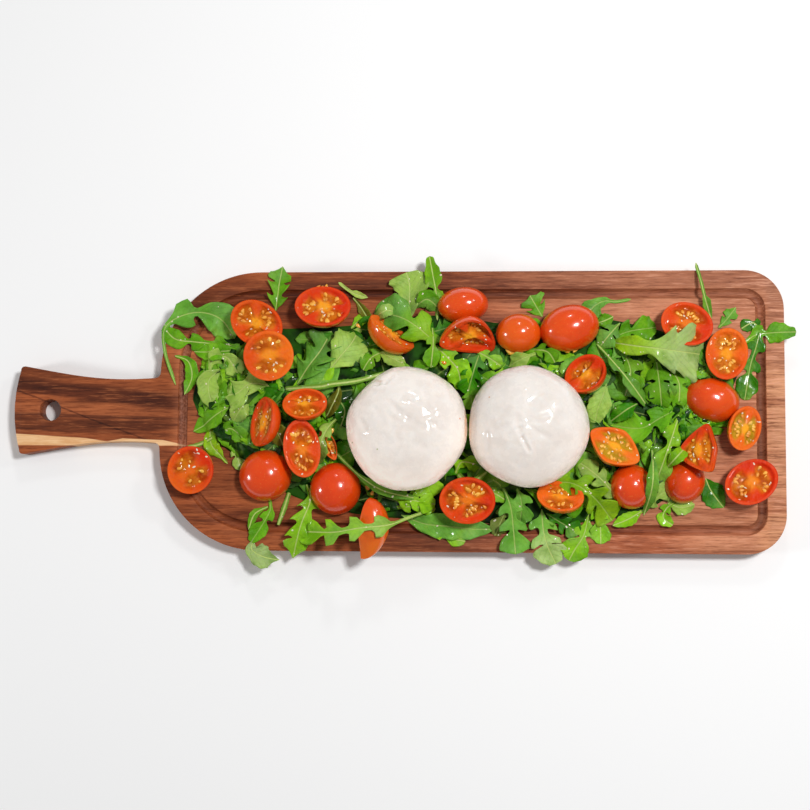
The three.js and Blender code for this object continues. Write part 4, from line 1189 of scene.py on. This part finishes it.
# Each leaf: the line of its rib from the foot of the stem to the tip, width, how high it arches,
# shape, roll to one side in degrees, the bare stem's share of the length, and tone. A number as its
# shape is how many pairs of round side lobes it has, and "sharp" before it makes them pointed.
HEAP_LEAVES = [
    (
        [(-179, 15.5), (-185.5, 36), (-184.5, 51.5), (-168, 59.5), (-152.5, 56.5), (-143, 44)],
        20, 6, 1, 8, 0.42, "blue",
    ),
    (
        [(-137.5, 38), (-152.5, 40.5), (-168, 42), (-180, 44), (-187.5, 51.5)],
        11, 2, 2, -10, 0.1, "mid",
    ),
    ([(-137.5, 37), (-148.5, 35.5), (-158.5, 35.5), (-168, 36)], 11, 4, "oval", 12, 0.12, "mid"),
    ([(-148, 26), (-157, 18.5), (-157, 9.5), (-154, -0.5)], 12, 3, "oval", -15, 0.1, "pale"),
    (
        [(-119.5, 14.5), (-131.5, 15.5), (-139.5, 10), (-148.5, 8.5)],
        20, 3, "sharp 1", 10, 0.1, "pale",
    ),
    ([(-143.5, 2.5), (-151.5, -2.5), (-159.5, -8.5), (-167.5, -13)], 12, 3, "oval", 25, 0.1, "mid"),
    ([(-151.5, -15.5), (-143.5, -11.5), (-135, -18.5)], 10, 2, 1, 10, 0.1, "mid"),
    ([(-170.5, -22.5), (-162.5, -20.5), (-153.5, -15.5)], 2.6, 1.5, "stem", 0, 1, "stem"),
    ([(-146, -32.5), (-151, -27), (-156.5, -20), (-157, -10)], 9, 2, "oval", 0, 0.15, "lime"),
    (
        [(-97.5, -44.5), (-94.5, -54.5), (-100, -70.5), (-105.5, -89.5)],
        15, 10, "sharp 3", -12, 0.15, "bright",
    ),
    (
        [
            (-19.5, -59), (-34.5, -64.5), (-46, -69), (-63, -71), (-78, -73.5), (-92, -73.5),
            (-105, -73),
        ],
        15, 24, 3, 8, 0.27, "pale bright",
    ),
    (
        [(-40, -63), (-26.5, -68), (-12.5, -69.5), (1.5, -71), (16, -71)],
        15, 3, "oval", 12, 0.05, "blue",
    ),
    ([(-30, -63), (-14.5, -75), (-1.5, -78.5)], 8, 1, 2, -10, 0.1, "bright"),
    (
        [(-82, -23), (-71.5, -33.5), (-61, -42.5), (-48, -49.5), (-27, -53.5)],
        5.5, 11, "oval", 10, 0.3, "rib",
    ),
    ([(-46, -53), (-34.5, -54), (-19.5, -56.5)], 13, 3, 2, -8, 0.08, "bright"),
    ([(-78, -4.5), (-84, -12.5), (-88, -22.5), (-89.5, -32.5)], 10, 8, 1, 20, 0.1, "pale"),
    (
        [(-111.5, 12.5), (-89, 13), (-81, 14.5), (-65, 17), (-46, 23.5)],
        3.6, 9, "stem", 0, 1, "stem",
    ),
    ([(-103.5, 15), (-96.5, 25.5), (-89, 36), (-83.5, 48.5)], 23, 4, "sharp 2", -8, 0.12, "blue"),
    ([(-84, 23.5), (-77, 32), (-70, 41), (-66, 51.5)], 23, 5, "sharp 0", 10, 0.1, "pale"),
    ([(-55, 36), (-46, 31), (-37, 26.5)], 9, 4, "oval", -20, 0.1, "pale"),
    ([(-19, 40), (-30, 49), (-42, 56), (-57.5, 59.5)], 25, 12, 1, 8, 0.06, "bright blue"),
    ([(-37, 53), (-36, 66), (-36, 76.5), (-38, 84.5)], 23, 3, "blunt", 0, 0.12, "pale"),
    ([(-19, 55), (-19.5, 70), (-22, 83.5), (-24, 94.4)], 10, 4, 1, 10, 0.1, "bright"),
    ([(-33.5, 62), (-25, 67), (-17, 61)], 11, 7, "oval", 25, 0.1, "mid"),
    ([(-22, 51), (-21, 40), (-22.5, 25.5)], 10, 5, 1, -20, 0.1, "mid"),
    ([(-21, 40), (-12.5, 31.5), (-6, 23.5), (-4, 12)], 15, 5, 1, 10, 0.12, "bright"),
    ([(7.5, 36), (4, 25.5), (-0.5, 9)], 14, 3, 2, -10, 0.1, "dark"),
    ([(41.5, 34.5), (32, 30.5), (24, 26)], 10, 4, "sharp 0", -12, 0.25, "pale"),
    ([(37, 36.5), (47, 35), (52, 28.5)], 10, 3, 1, 15, 0.1, "mid"),
    ([(91, 53), (85, 46), (78.5, 38)], 13, 5, 1, 15, 0.08, "blue"),
    ([(85.5, 43), (96, 47.5), (112.5, 50.5)], 15, 3, 1, -5, 0.08, "mid"),
    (
        [(85, 41), (100, 37), (114, 35), (125.5, 34), (140, 33.5)],
        33, 17, "fan", 14, 0.04, "lime grey",
    ),
    ([(76.5, 40.5), (86.5, 27.5), (96, 15.5), (106.5, 2)], 8, 9, 1, -20, 0.15, "rib"),
    ([(93, 34.5), (96.5, 22.5), (93, 8)], 17, 3, 1, 12, 0.1, "mid"),
    ([(83, 16.5), (79.5, 7), (76.5, -1.5), (75.5, -10)], 13, 4, "oval", -10, 0.1, "pale"),
    ([(112, 30.5), (113, 17.5), (115, 0.5)], 18, 6, 1, 15, 0.06, "mid"),
    ([(119.5, 26.5), (125, 15.5), (124.5, 0.5)], 13, 4, 1, -15, 0.1, "mid"),
    ([(125, 1.5), (113.5, -5), (102, -11), (85, -9)], 18, 4, 1, 8, 0.05, "mid"),
    ([(125.5, -1.5), (121, -14), (116, -28), (110, -47)], 13, 8, 1, -12, 0.06, "bright"),
    ([(109, -23), (108.5, -33.5), (107.5, -47.5), (104.5, -62.5)], 7, 17, "oval", 10, 0.12, "rib"),
    ([(115, -37), (122, -28.5), (130, -20.5)], 8, 13, "oval", -20, 0.15, "bright"),
    ([(101.5, -57.5), (110.5, -52.5), (118, -48), (127.5, -52.5)], 12, 4, 2, 10, 0.1, "pale"),
    ([(118.5, -55), (126.5, -57.5), (134.5, -55.5)], 9, 1, "oval", -15, 0.1, "pale"),
    ([(124, -53.5), (118, -58), (116, -63.5), (121.5, -68)], 8, 1, 1, 10, 0.15, "bright"),
    ([(104.5, -59), (95.5, -64.5), (86, -68.5)], 8, 2, "oval", 10, 0.1, "bright"),
    ([(14, -41), (21, -47), (25.5, -58), (27, -69.5), (28.5, -86)], 18, 5, 2, -8, 0.3, "blue"),
    ([(29, -46.5), (32, -55.5), (31, -68)], 14, 4, 1, 12, 0.1, "blue"),
    ([(26, -56.5), (18, -51), (10, -47)], 8, 4, "oval", 10, 0.12, "bright"),
    ([(25, -54), (21, -63.5), (16, -75)], 11, 2, 1, -10, 0.1, "olive"),
    ([(44, -59), (45, -71.5), (47.5, -81), (52.5, -91.5)], 19, 3, 2, 8, 0.08, "blue grey"),
    ([(72, -62), (69, -74), (63.5, -83), (60, -89.5)], 16, 2, 1, -8, 0.08, "bright"),
    ([(48.5, -43), (62.5, -44), (75, -52.5), (86, -65.5)], 18, 8, 3, 10, 0.06, "bright lime"),
    ([(76, -53.5), (78.5, -65.5), (79, -79.5)], 12, 2, 1, -10, 0.08, "bright"),
    ([(91, -55), (82, -44.5), (74.5, -37.5), (66, -31)], 13, 6, 2, 15, 0.08, "pale"),
    ([(-7.5, -39), (-3.5, -31.5), (7.5, -33.5)], 9, 4, 1, 20, 0.1, "bright"),
    ([(-70.5, 69), (-65.5, 63), (-57, 49)], 6, 2, "oval", 15, 0.1, "olive"),
    (
        [(-157.5, 21.5), (-155.5, 30), (-147, 32), (-142, 26), (-139, 19.5)],
        12, 4, 1, 20, 0.1, "pale",
    ),
    ([(-132.5, 6.5), (-137.5, -0.5), (-142.5, -7.5)], 11, 4, "oval", -25, 0.1, "pale"),
    ([(-144, -21), (-141, -26.5), (-137.5, -36.5)], 8, 2, 1, -20, 0.1, "pale"),
    ([(-119, -7.5), (-114, -14.5), (-111, -23)], 11, 4, "oval", 15, 0.1, "olive"),
    ([(-45.5, -59), (-33.5, -58), (-19.5, -59.5)], 8, 4, 1, 8, 0.1, "bright"),
    ([(-79, 7.5), (-74, -0.5), (-76.5, -10.5)], 13, 2, "oval", -15, 0.1, "dark"),
    ([(-79, 18.5), (-77.5, 10.5), (-82.5, -0.5), (-86, -5.5)], 8, 6, "oval", 20, 0.2, "olive"),
    ([(-49, 36), (-58, 31.5), (-63.5, 24)], 10, 3, 1, 10, 0.1, "mid"),
    ([(-41, 58.5), (-49, 59.5), (-58, 55.5)], 8, 12, "oval", 20, 0.05, "pale"),
    ([(4, 36), (12, 31.5), (20, 26.5)], 9, 3, 1, 15, 0.1, "bright"),
    ([(75.5, 52.5), (81, 54), (87, 57)], 8, 3, "oval", 10, 0.1, "mid"),
    ([(101, 4), (94, 0), (84.5, -7)], 10, 5, "oval", 20, 0.1, "dark"),
    ([(46.5, -61.5), (56.5, -67.5), (66.5, -73)], 12, 2, 2, 0, 0.08, "dark"),
    ([(-6, -38.5), (1.5, -44), (11.5, -37)], 4, 9, "stem", 0, 1, "pale"),
    ([(-71.5, 50), (-66, 55), (-59, 56.5)], 7, 2, "oval", -15, 0.1, "bright"),
    ([(-108, -50), (-111, -59.5), (-114.5, -69.5)], 3.2, 1.5, "stem", 0, 1, "stem"),
]
LOOSE_LEAVES = [
    [
        ([(-180, 33.5), (-171.5, 30), (-169, 20), (-173.5, 9.5)], 8, 0.6, "oval", 10, 0.1, "mid"),
    ],
    [
        ([(-120, -53.5), (-119.5, -60.5), (-124.5, -70), (-131, -80)], 10, 0.6, 1, 0, 0.12, "mid"),
        ([(-121, -58.5), (-129, -63), (-132.5, -72.5)], 5, 0.6, "oval", 0, 0.1, "mid"),
        (
            [(-128.5, -77.5), (-130.5, -84), (-123.5, -88.5), (-113.5, -90.5)],
            14, 0.8, "sharp 0", 0, 0.1, "grey",
        ),
    ],
    [
        ([(141, -40), (144.5, -48), (151.5, -57.5)], 14, 0.6, "oval", 0, 0.04, "dark"),
    ],
    [
        ([(149.5, 50), (154, 54.5), (160, 62.5)], 9, 0.6, "sharp 1", 0, 0.12, "mid"),
    ],
    [
        ([(136.5, 89.5), (138.5, 78.5), (141, 67.5), (145.5, 55.5)], 5, 8, "oval", 0, 0.55, "rib"),
    ],
    [
        ([(164.5, 40), (171, 45.5), (181.5, 47), (195.4, 47.5)], 12, 0.8, 1, 0, 0.05, "mid"),
        ([(174.5, 49), (171.5, 38), (168, 26.5), (164.5, 6.5)], 13, 0.6, 2, 0, 0.05, "dark"),
        ([(174.5, 48.5), (170, 53), (163, 49.5)], 8, 0.6, 1, 0, 0.05, "dark"),
    ],
    [
        (
            [(-118, 61), (-117, 68.5), (-116, 77.5), (-114, 88.5)],
            15, 0.6, "sharp 2", 0, 0.08, "mid",
        ),
    ],
    [
        ([(-79.5, 78.5), (-71.5, 72.5), (-61.5, 69)], 4, 0.6, "oval", 0, 0.4, "stem"),
    ],
    [
        (
            [(97.5, 67.5), (89, 66), (82, 66.5), (76, 63.5), (71, 57.5)],
            13, 0.6, "blunt", 0, 0.40, "blue",
        ),
    ],
    [
        ([(44.5, 57), (41, 63), (37, 70)], 16, 0.6, "sharp 1", 0, 0.1, "mid"),
    ],
]


def lobed_sides(lobes, rounded, shift, corner):
    """The sides of a blade with so many lobes and an end lobe, which has a corner on each side."""
    end = lobes / (lobes + 1.3)
    sides = []
    for lobe in range(lobes):
        tip = end * (lobe + 0.55 + shift) / lobes
        reach = 0.86 + 0.08 * lobe
        if rounded:
            sides.append((tip - 0.22 * end / lobes, 0.34, 0))
            sides.append((tip - 0.10 * end / lobes, reach * 0.9, 0.15))
            sides.append((tip + 0.12 * end / lobes, reach, 0.45))
            sides.append((tip + 0.24 * end / lobes, 0.44, 0.3))
        else:
            sides += [(tip, reach, 0.5)] * 2
        sides.append((end * (lobe + 1 + shift / 2) / lobes, 0.26 if rounded else 0.34, 0))
    sides.append((end + (corner - 0.26 + shift) * (1 - end), 0.96, 0.1))
    if rounded:
        sides.append((end + (corner + 0.08 + shift) * (1 - end), 0.98, 0.1))
        sides.append((end + (corner + 1.1) / 2.1 * (1 - end), 0.66, 0.1))
        sides.append((end + 0.95 * (1 - end), 0.40, 0.05))
    else:
        sides += [(end + (corner + shift) * (1 - end), 0.90, 0.2)] * 2
        sides.append((end + (corner + 1) / 2 * (1 - end), 0.40, 0))
    return sides


def leaf_side(shape, stem, shift, corner):
    """One edge of a leaf as places along it: share of the length, share of the half width and how
    far the edge points forwards. A place that is given twice is a sharp corner."""
    if shape == "stem":
        return [(0, 0.6, 0), (0.05, 0.8, 0), (0.5, 1, 0), (0.95, 0.6, 0), (1, 0.3, 0)]
    foot = [(0, 0, 0), (0.4 * stem, 0, 0), (stem, 0.14, 0)]
    if shape == "fan":
        lobes = [(0.22, 0.36, 0), (0.42, 0.24, 0), (0.55, 0.58, 0.1), (0.62 + shift / 2, 0.80, 0.2)]
        lobes += [(0.69, 0.66, 0), (0.77, 0.92, 0.1), (0.85, 1.04, 0.15), (0.90, 0.98, 0.1)]
        return foot + lobes + [(0.925, 0.74, 0), (0.955, 0.68, 0.1), (0.985, 0.42, 0.05), (1, 0, 0)]
    if shape == "oval":
        sides = [(0.2, 0.66, 0), (0.42 + shift, 1.04, 0), (0.70 + shift, 0.88, 0), (0.9, 0.42, 0)]
    elif shape == "blunt":
        sides = [(0.2, 0.40, 0), (0.46, 0.58, 0), (0.64 + shift, 0.94, 0)]
        sides += [(0.84 + shift, 1.06, 0)] * 2 + [(0.96, 0.66, 0)]
    elif isinstance(shape, int):
        sides = lobed_sides(shape, True, shift, corner)
    else:
        sides = lobed_sides(int(shape.split()[1]), False, shift, corner)
    blade = [(stem + share * (1 - stem), *outwards) for share, *outwards in sides]
    return foot + blade + [(1, 0, 0)]


def even_line(points):
    """Places spaced evenly along the smooth curve through these points, and its length."""
    line = np.array([spline(points, i / 200) for i in range(201)])
    run = np.concatenate([[0], np.cumsum(np.linalg.norm(np.diff(line, axis=0), axis=1))])
    return line, run / run[-1], run[-1]


def sheet_faces(rows, columns):
    """Faces of an upper and a lower sheet of points in rows and columns, closed round the edge."""
    count = rows * columns
    faces = []
    for row in range(rows - 1):
        for column in range(columns - 1):
            a = row * columns + column
            b, c, d = a + 1, a + columns + 1, a + columns
            faces.append((a, d, c, b))
            faces.append((count + a, count + b, count + c, count + d))
    edge = [row * columns for row in range(rows)]
    edge += [(rows - 1) * columns + column for column in range(1, columns)]
    edge += [row * columns + columns - 1 for row in range(rows - 2, -1, -1)]
    edge += list(range(columns - 2, 0, -1))
    for here, there in zip(edge, edge[1:] + edge[:1]):
        faces.append((here, count + here, count + there, there))
    return faces


def leaf_body(rib, width, lift, shape, roll, stem, tone, steps=40, columns=COLUMNS, ribbed=1):
    """A leaf's points, faces, chart of millimetres across and along, and marks: its colour, whether
    it is a bare stem and how strongly its rib shows. A tone of two names goes over from the first
    to the second."""
    line, run, length = even_line(rib)
    phase = rib[0][0] * 0.37 + rib[0][1] * 0.23
    shift = 0 if shape == "stem" else 0.07 * math.sin(2.9 * phase)
    corner = 0.50 + 0.14 * math.sin(4.1 * phase)
    edges = {}
    shares = set(np.linspace(0, 1, steps))
    for side, offset in ((1, shift), (-1, -shift)):
        places = leaf_side(shape, stem, offset, corner)
        shares |= {here[0] for here, there in zip(places, places[1:]) if here == there}
        edges[side] = np.array([spline(places, i / 240) for i in range(241)])
    shares = sorted(shares)
    shares = [here for here, there in zip(shares, shares[1:]) if there - here > 0.001] + [1.0]
    cup = 0.10 + 0.16 * math.sin(2.3 * phase)
    waves = max(2, length / 11)
    points = []
    chart = []
    for share in shares:
        x, y = (np.interp(share, run, line[:, axis]) for axis in (0, 1))
        before, after = max(0, share - 0.01), min(1, share + 0.01)
        along = Vector([
            np.interp(after, run, line[:, axis]) - np.interp(before, run, line[:, axis])
            for axis in (0, 1)
        ]).normalized()
        taper = min(1, 0.25 + 12 * share, 0.12 + 9 * (1 - share))
        height = bed_height(x, y) + lift * math.sin(share * math.pi) - LEAF_SINK
        middle_z = max(height, LEAF_CLEARANCE)
        for column in columns:
            size = abs(column)
            side = 1 if column >= 0 else -1
            edge = edges[side]
            width_share, forward = (np.interp(share, edge[:, 0], edge[:, k]) for k in (1, 2))
            teeth = 1 + 0.05 * math.sin(37 * share + 3 * phase + side) * size
            half_width = max(STEM_HALF_WIDTH * taper, width_share * teeth * width / 2)
            lean = math.copysign(min(half_width * math.sin(math.radians(abs(roll))), lift), roll)
            out = column * half_width
            ahead = forward * half_width * size
            buckle = noise.noise(Vector((x / 8 + column, y / 8, phase))) * LEAF_BUCKLE * size
            wave = math.sin(2 * math.pi * waves * share + 2 * phase + 1.7 * side)
            curl = cup * size**1.6 + LEAF_RUFFLE * wave * size**2.5
            z = middle_z + column * lean + half_width * curl
            if shape != "stem":
                rib_groove = RIB_SUNK * math.exp(-((out / RIB_HALF_WIDTH) ** 2)) + BLADE_SUNK
                z += buckle * min(1, half_width / 4) - rib_groove
            points.append(Vector((
                x - along.y * out + along.x * ahead,
                y + along.x * out + along.y * ahead,
                max(z, EDGE_CLEARANCE + 0.2 * size) + BOARD_TOP * 1000,
            )))
            chart.append((0.5 + out / CHART_WIDTH, share * length / CHART_LENGTH))
    down = Vector((0, 0, LEAF_THICKNESS))
    points += [point - down for point in points]
    faces = sheet_faces(len(shares), len(columns))
    shade = 1 + 0.14 * math.sin(5.3 * phase)
    foot_tone, tip_tone = (srgb(*TONES[name]) for name in (tone.split() * 2)[:2])
    rib_shows = 1 if width < STEMMY_WIDTH else 0.25 + 0.75 * abs(math.sin(3.1 * phase))
    marks = []
    for share in shares:
        turned = max(0, min(1, (share - 0.3) / 0.35))
        colour = [(a + (b - a) * turned) * shade for a, b in zip(foot_tone, tip_tone)]
        marks += [colour[:3] + [1, float(shape == "stem"), rib_shows * ribbed]] * len(columns)
    return [point / 1000 for point in points], faces, chart * 2, marks * 2


def leaf_piece(name, rows, material, **detail):
    """One mesh of several leaves, with their charts and tones."""
    bodies = [leaf_body(*row, **detail) for row in rows]
    piece = joined(name, [(points, faces) for points, faces, *_ in bodies], material)
    charts = [mark for body in bodies for mark in body[2]]
    marks = np.array([mark for body in bodies for mark in body[3]], np.float32)
    mesh = piece.data
    chart = mesh.uv_layers.new(name="blade")
    corners = np.empty(len(mesh.loops), np.int32)
    mesh.loops.foreach_get("vertex_index", corners)
    chart.data.foreach_set("uv", np.array(charts, np.float32)[corners].ravel())
    tone = mesh.attributes.new("tone", "FLOAT_COLOR", "POINT")
    tone.data.foreach_set("color", marks[:, :4].ravel())
    for column, attribute in ((4, "bare_stem"), (5, "rib_shows")):
        values = mesh.attributes.new(attribute, "FLOAT", "POINT")
        values.data.foreach_set("value", marks[:, column].copy())
    only(piece)
    bpy.ops.object.mode_set(mode="EDIT")
    bpy.ops.mesh.select_all(action="SELECT")
    bpy.ops.mesh.normals_make_consistent(inside=False)
    bpy.ops.object.mode_set(mode="OBJECT")
    return piece


def leaf_finish():
    """Satin green blade with a pale rib, faint side veins and patches of lighter bloom."""
    material, shader, start = new_finish("rocket_leaf", {
        "Specular IOR Level": 0.12,
        "Coat Roughness": 0.16,
        "Subsurface Weight": 0.10,
        "Subsurface Radius": (0.5, 1.0, 0.1),
        "Subsurface Scale": 0.001,
    })
    place = object_place(start)
    chart = start.node("UVMap", {"uv_map": "blade"})
    from_side, from_foot = parts_of(chart, "XY")
    across = abs(from_side - 0.5) * CHART_WIDTH
    along = from_foot * CHART_LENGTH
    tone = carried(start, "tone", "Color")
    bare = carried(start, "bare_stem")
    shows = carried(start, "rib_shows")
    patch = cloud(place, 75, 3)
    fine = cloud(place, 600, 2)
    colour = tint(rise(patch, 0.42, 0.70) * 0.8, tone, (0.46, 0.60, 0.30, 1))
    colour = mix(rise(0.48 - patch, 0.0, 0.20) * 0.40, colour, srgb(150, 190, 62))
    colour = mix(rise(cloud(place, 42, 1), 0.56, 0.68) * 0.28, colour, srgb(120, 164, 96))
    colour = tint(rise(fine, 0.5, 0.7) * 0.25, colour, (0.6, 0.7, 0.5, 1))
    wander = (cloud(place, 260, 1) - 0.5) * 1.2
    vein = (along - across * 0.9 + wander) / 4.2
    from_vein = abs(vein.node("Math", {"operation": "FRACT"}, {0: vein}) - 0.5) * 4.2
    veins = rise(0.26 - from_vein, 0.0, 0.22) * rise(across, 0.3, 1.0)
    colour = mix(veins * 0.28 * shows, colour, srgb(150, 186, 84))
    rib = rise(0.52 - across + wander * 0.12, 0.0, 0.30)
    pale = mix(fine, srgb(156, 186, 84), srgb(204, 214, 136))
    colour = mix(rib * (shows * 0.8 + 0.12), colour, pale)
    bare_colour = mix(rise(across, 0.1, 0.95), pale, srgb(104, 146, 40))
    colour = mix(bare, colour, bare_colour)
    feed(
        shader,
        base_color=colour,
        roughness=0.34 + fine * 0.24,
        coat_weight=rise(cloud(place, 110, 2), 0.58, 0.64) * 0.6,
        normal=relief(cloud(place, 330, 3) + patch - veins * 0.5 - rib * 0.4, 0.55, 0.0010),
    )
    return material


rocket_leaf = leaf_finish()
heap = leaf_piece("rocket_leaves", HEAP_LEAVES, rocket_leaf)
hand_over(heap, "salad_leaf", "rocket_salad")

for number, blades in enumerate(LOOSE_LEAVES, 1):
    piece = leaf_piece(f"loose_leaf_{number}", blades, rocket_leaf)
    hand_over(piece, "salad_leaf", f"rocket_leaf_{number}")

# Small leaves that fill the heap under the ones on top, drawn by a rule
UNDER_LEAVES = 300
UNDER_ROWS = 16
UNDER_COLUMNS = (-1, -0.55, 0, 0.55, 1)
draw = random.Random(17)
under = []
while len(under) < UNDER_LEAVES:
    x, lower, upper = spline(BED_OUTLINE, draw.uniform(0.03, 0.97))
    y = lower + (upper - lower) * draw.uniform(0.02, 0.98)
    heading = draw.uniform(0, 2 * math.pi)
    length = draw.uniform(18, 38)
    bend = draw.uniform(-0.5, 0.5)
    rib = [(x, y)]
    for part in range(2):
        heading += bend
        rib.append((
            rib[-1][0] + math.cos(heading) * length / 2,
            rib[-1][1] + math.sin(heading) * length / 2,
        ))
    if all(bed_height(*place) > 0.8 for place in rib):
        # Most are given the deep tone, painted shade for their place under the leaves on top
        tone = draw.choice(("deep", "deep", "dark", "mid", "mid", "bright", "blue"))
        width = draw.uniform(10, 18)
        lift = draw.uniform(-2.4, 0.8)
        shape = draw.choice((0, "oval", 1, 2))
        under.append((rib, width, lift, shape, draw.uniform(-30, 30), 0.08, tone))
under_piece = leaf_piece(
    "rocket_under_leaves", under, rocket_leaf, steps=UNDER_ROWS, columns=UNDER_COLUMNS, ribbed=0.3
)
hand_over(under_piece, "salad_leaf")

# ------------------------------------------------------------------------------------------------
# Dressing
# Oil and vinegar in small flat drops, on the leaves that lie on top and on the tomatoes' cut faces.
# Their near-white colour is painted glints.
# ------------------------------------------------------------------------------------------------
# Share of the drop's radius and of its height
DROP_RINGS = ((0.5, 0.8), (0.85, 0.42), (1.0, 0.0))
LEAF_DROPS = 150
DROPS_A_TOMATO = 9


def drop_body(matrix):
    """A low dome on its flat underside."""
    rings = [
        [(share * math.cos(turn), share * math.sin(turn), height) for turn in ROUND]
        for share, height in DROP_RINGS
    ]
    return small_body(matrix, (0, 0, 1), rings, (0, 0, -0.1))


def dressing_glint_finish():
    """Thin pale oil that catches the light in its glossy coat; its near-white colour is painted
    glints.
    """
    material, shader, start = new_finish("dressing", {
        "Alpha": 0.75, "Specular IOR Level": 0.9, "Coat Weight": 1.0, "Coat Roughness": 0.05,
    })
    place = object_place(start)
    # Near-white base colour: painted glints on the drops
    feed(
        shader,
        base_color=mix(cloud(place, 90, 1), srgb(255, 236, 190), srgb(255, 252, 236)),
        roughness=0.1 + cloud(place, 400, 1) * 0.1,
    )
    return material


draw = random.Random(29)
drops = []
flat_faces = [face for face in heap.data.polygons if face.normal.z > 0.86 and face.area > 2e-7]
for face in draw.sample(flat_faces, LEAF_DROPS):
    size = draw.uniform(0.25, 0.62)
    drops.append(drop_body(
        Matrix.Translation(face.center * 1000)
        @ face.normal.to_track_quat("Z", "Y").to_matrix().to_4x4()
        @ Matrix.Diagonal((size * draw.uniform(1, 1.5), size, 0.3 * size, 1))
    ))
for number, tomato in enumerate(TOMATO_HALVES, 1):
    for drop in range(DROPS_A_TOMATO if tomato.seeds else 0):
        angle = draw.uniform(0, 2 * math.pi)
        radius = draw.uniform(0.15, 0.9)
        along, across, sunk = place_in_half(number, tomato, radius, angle)
        size = draw.uniform(0.2, 0.6)
        drops.append(drop_body(
            cut_face(tomato)
            @ Matrix.Translation((along, across, 0.05 - sunk))
            @ Matrix.Rotation(draw.uniform(0, math.pi), 4, "Z")
            @ Matrix.Diagonal((size * draw.uniform(1, 2.6), size, 0.4 * size, 1))
        ))
dressing = joined("dressing_drops", drops, dressing_glint_finish())
hand_over(dressing, "tomato")
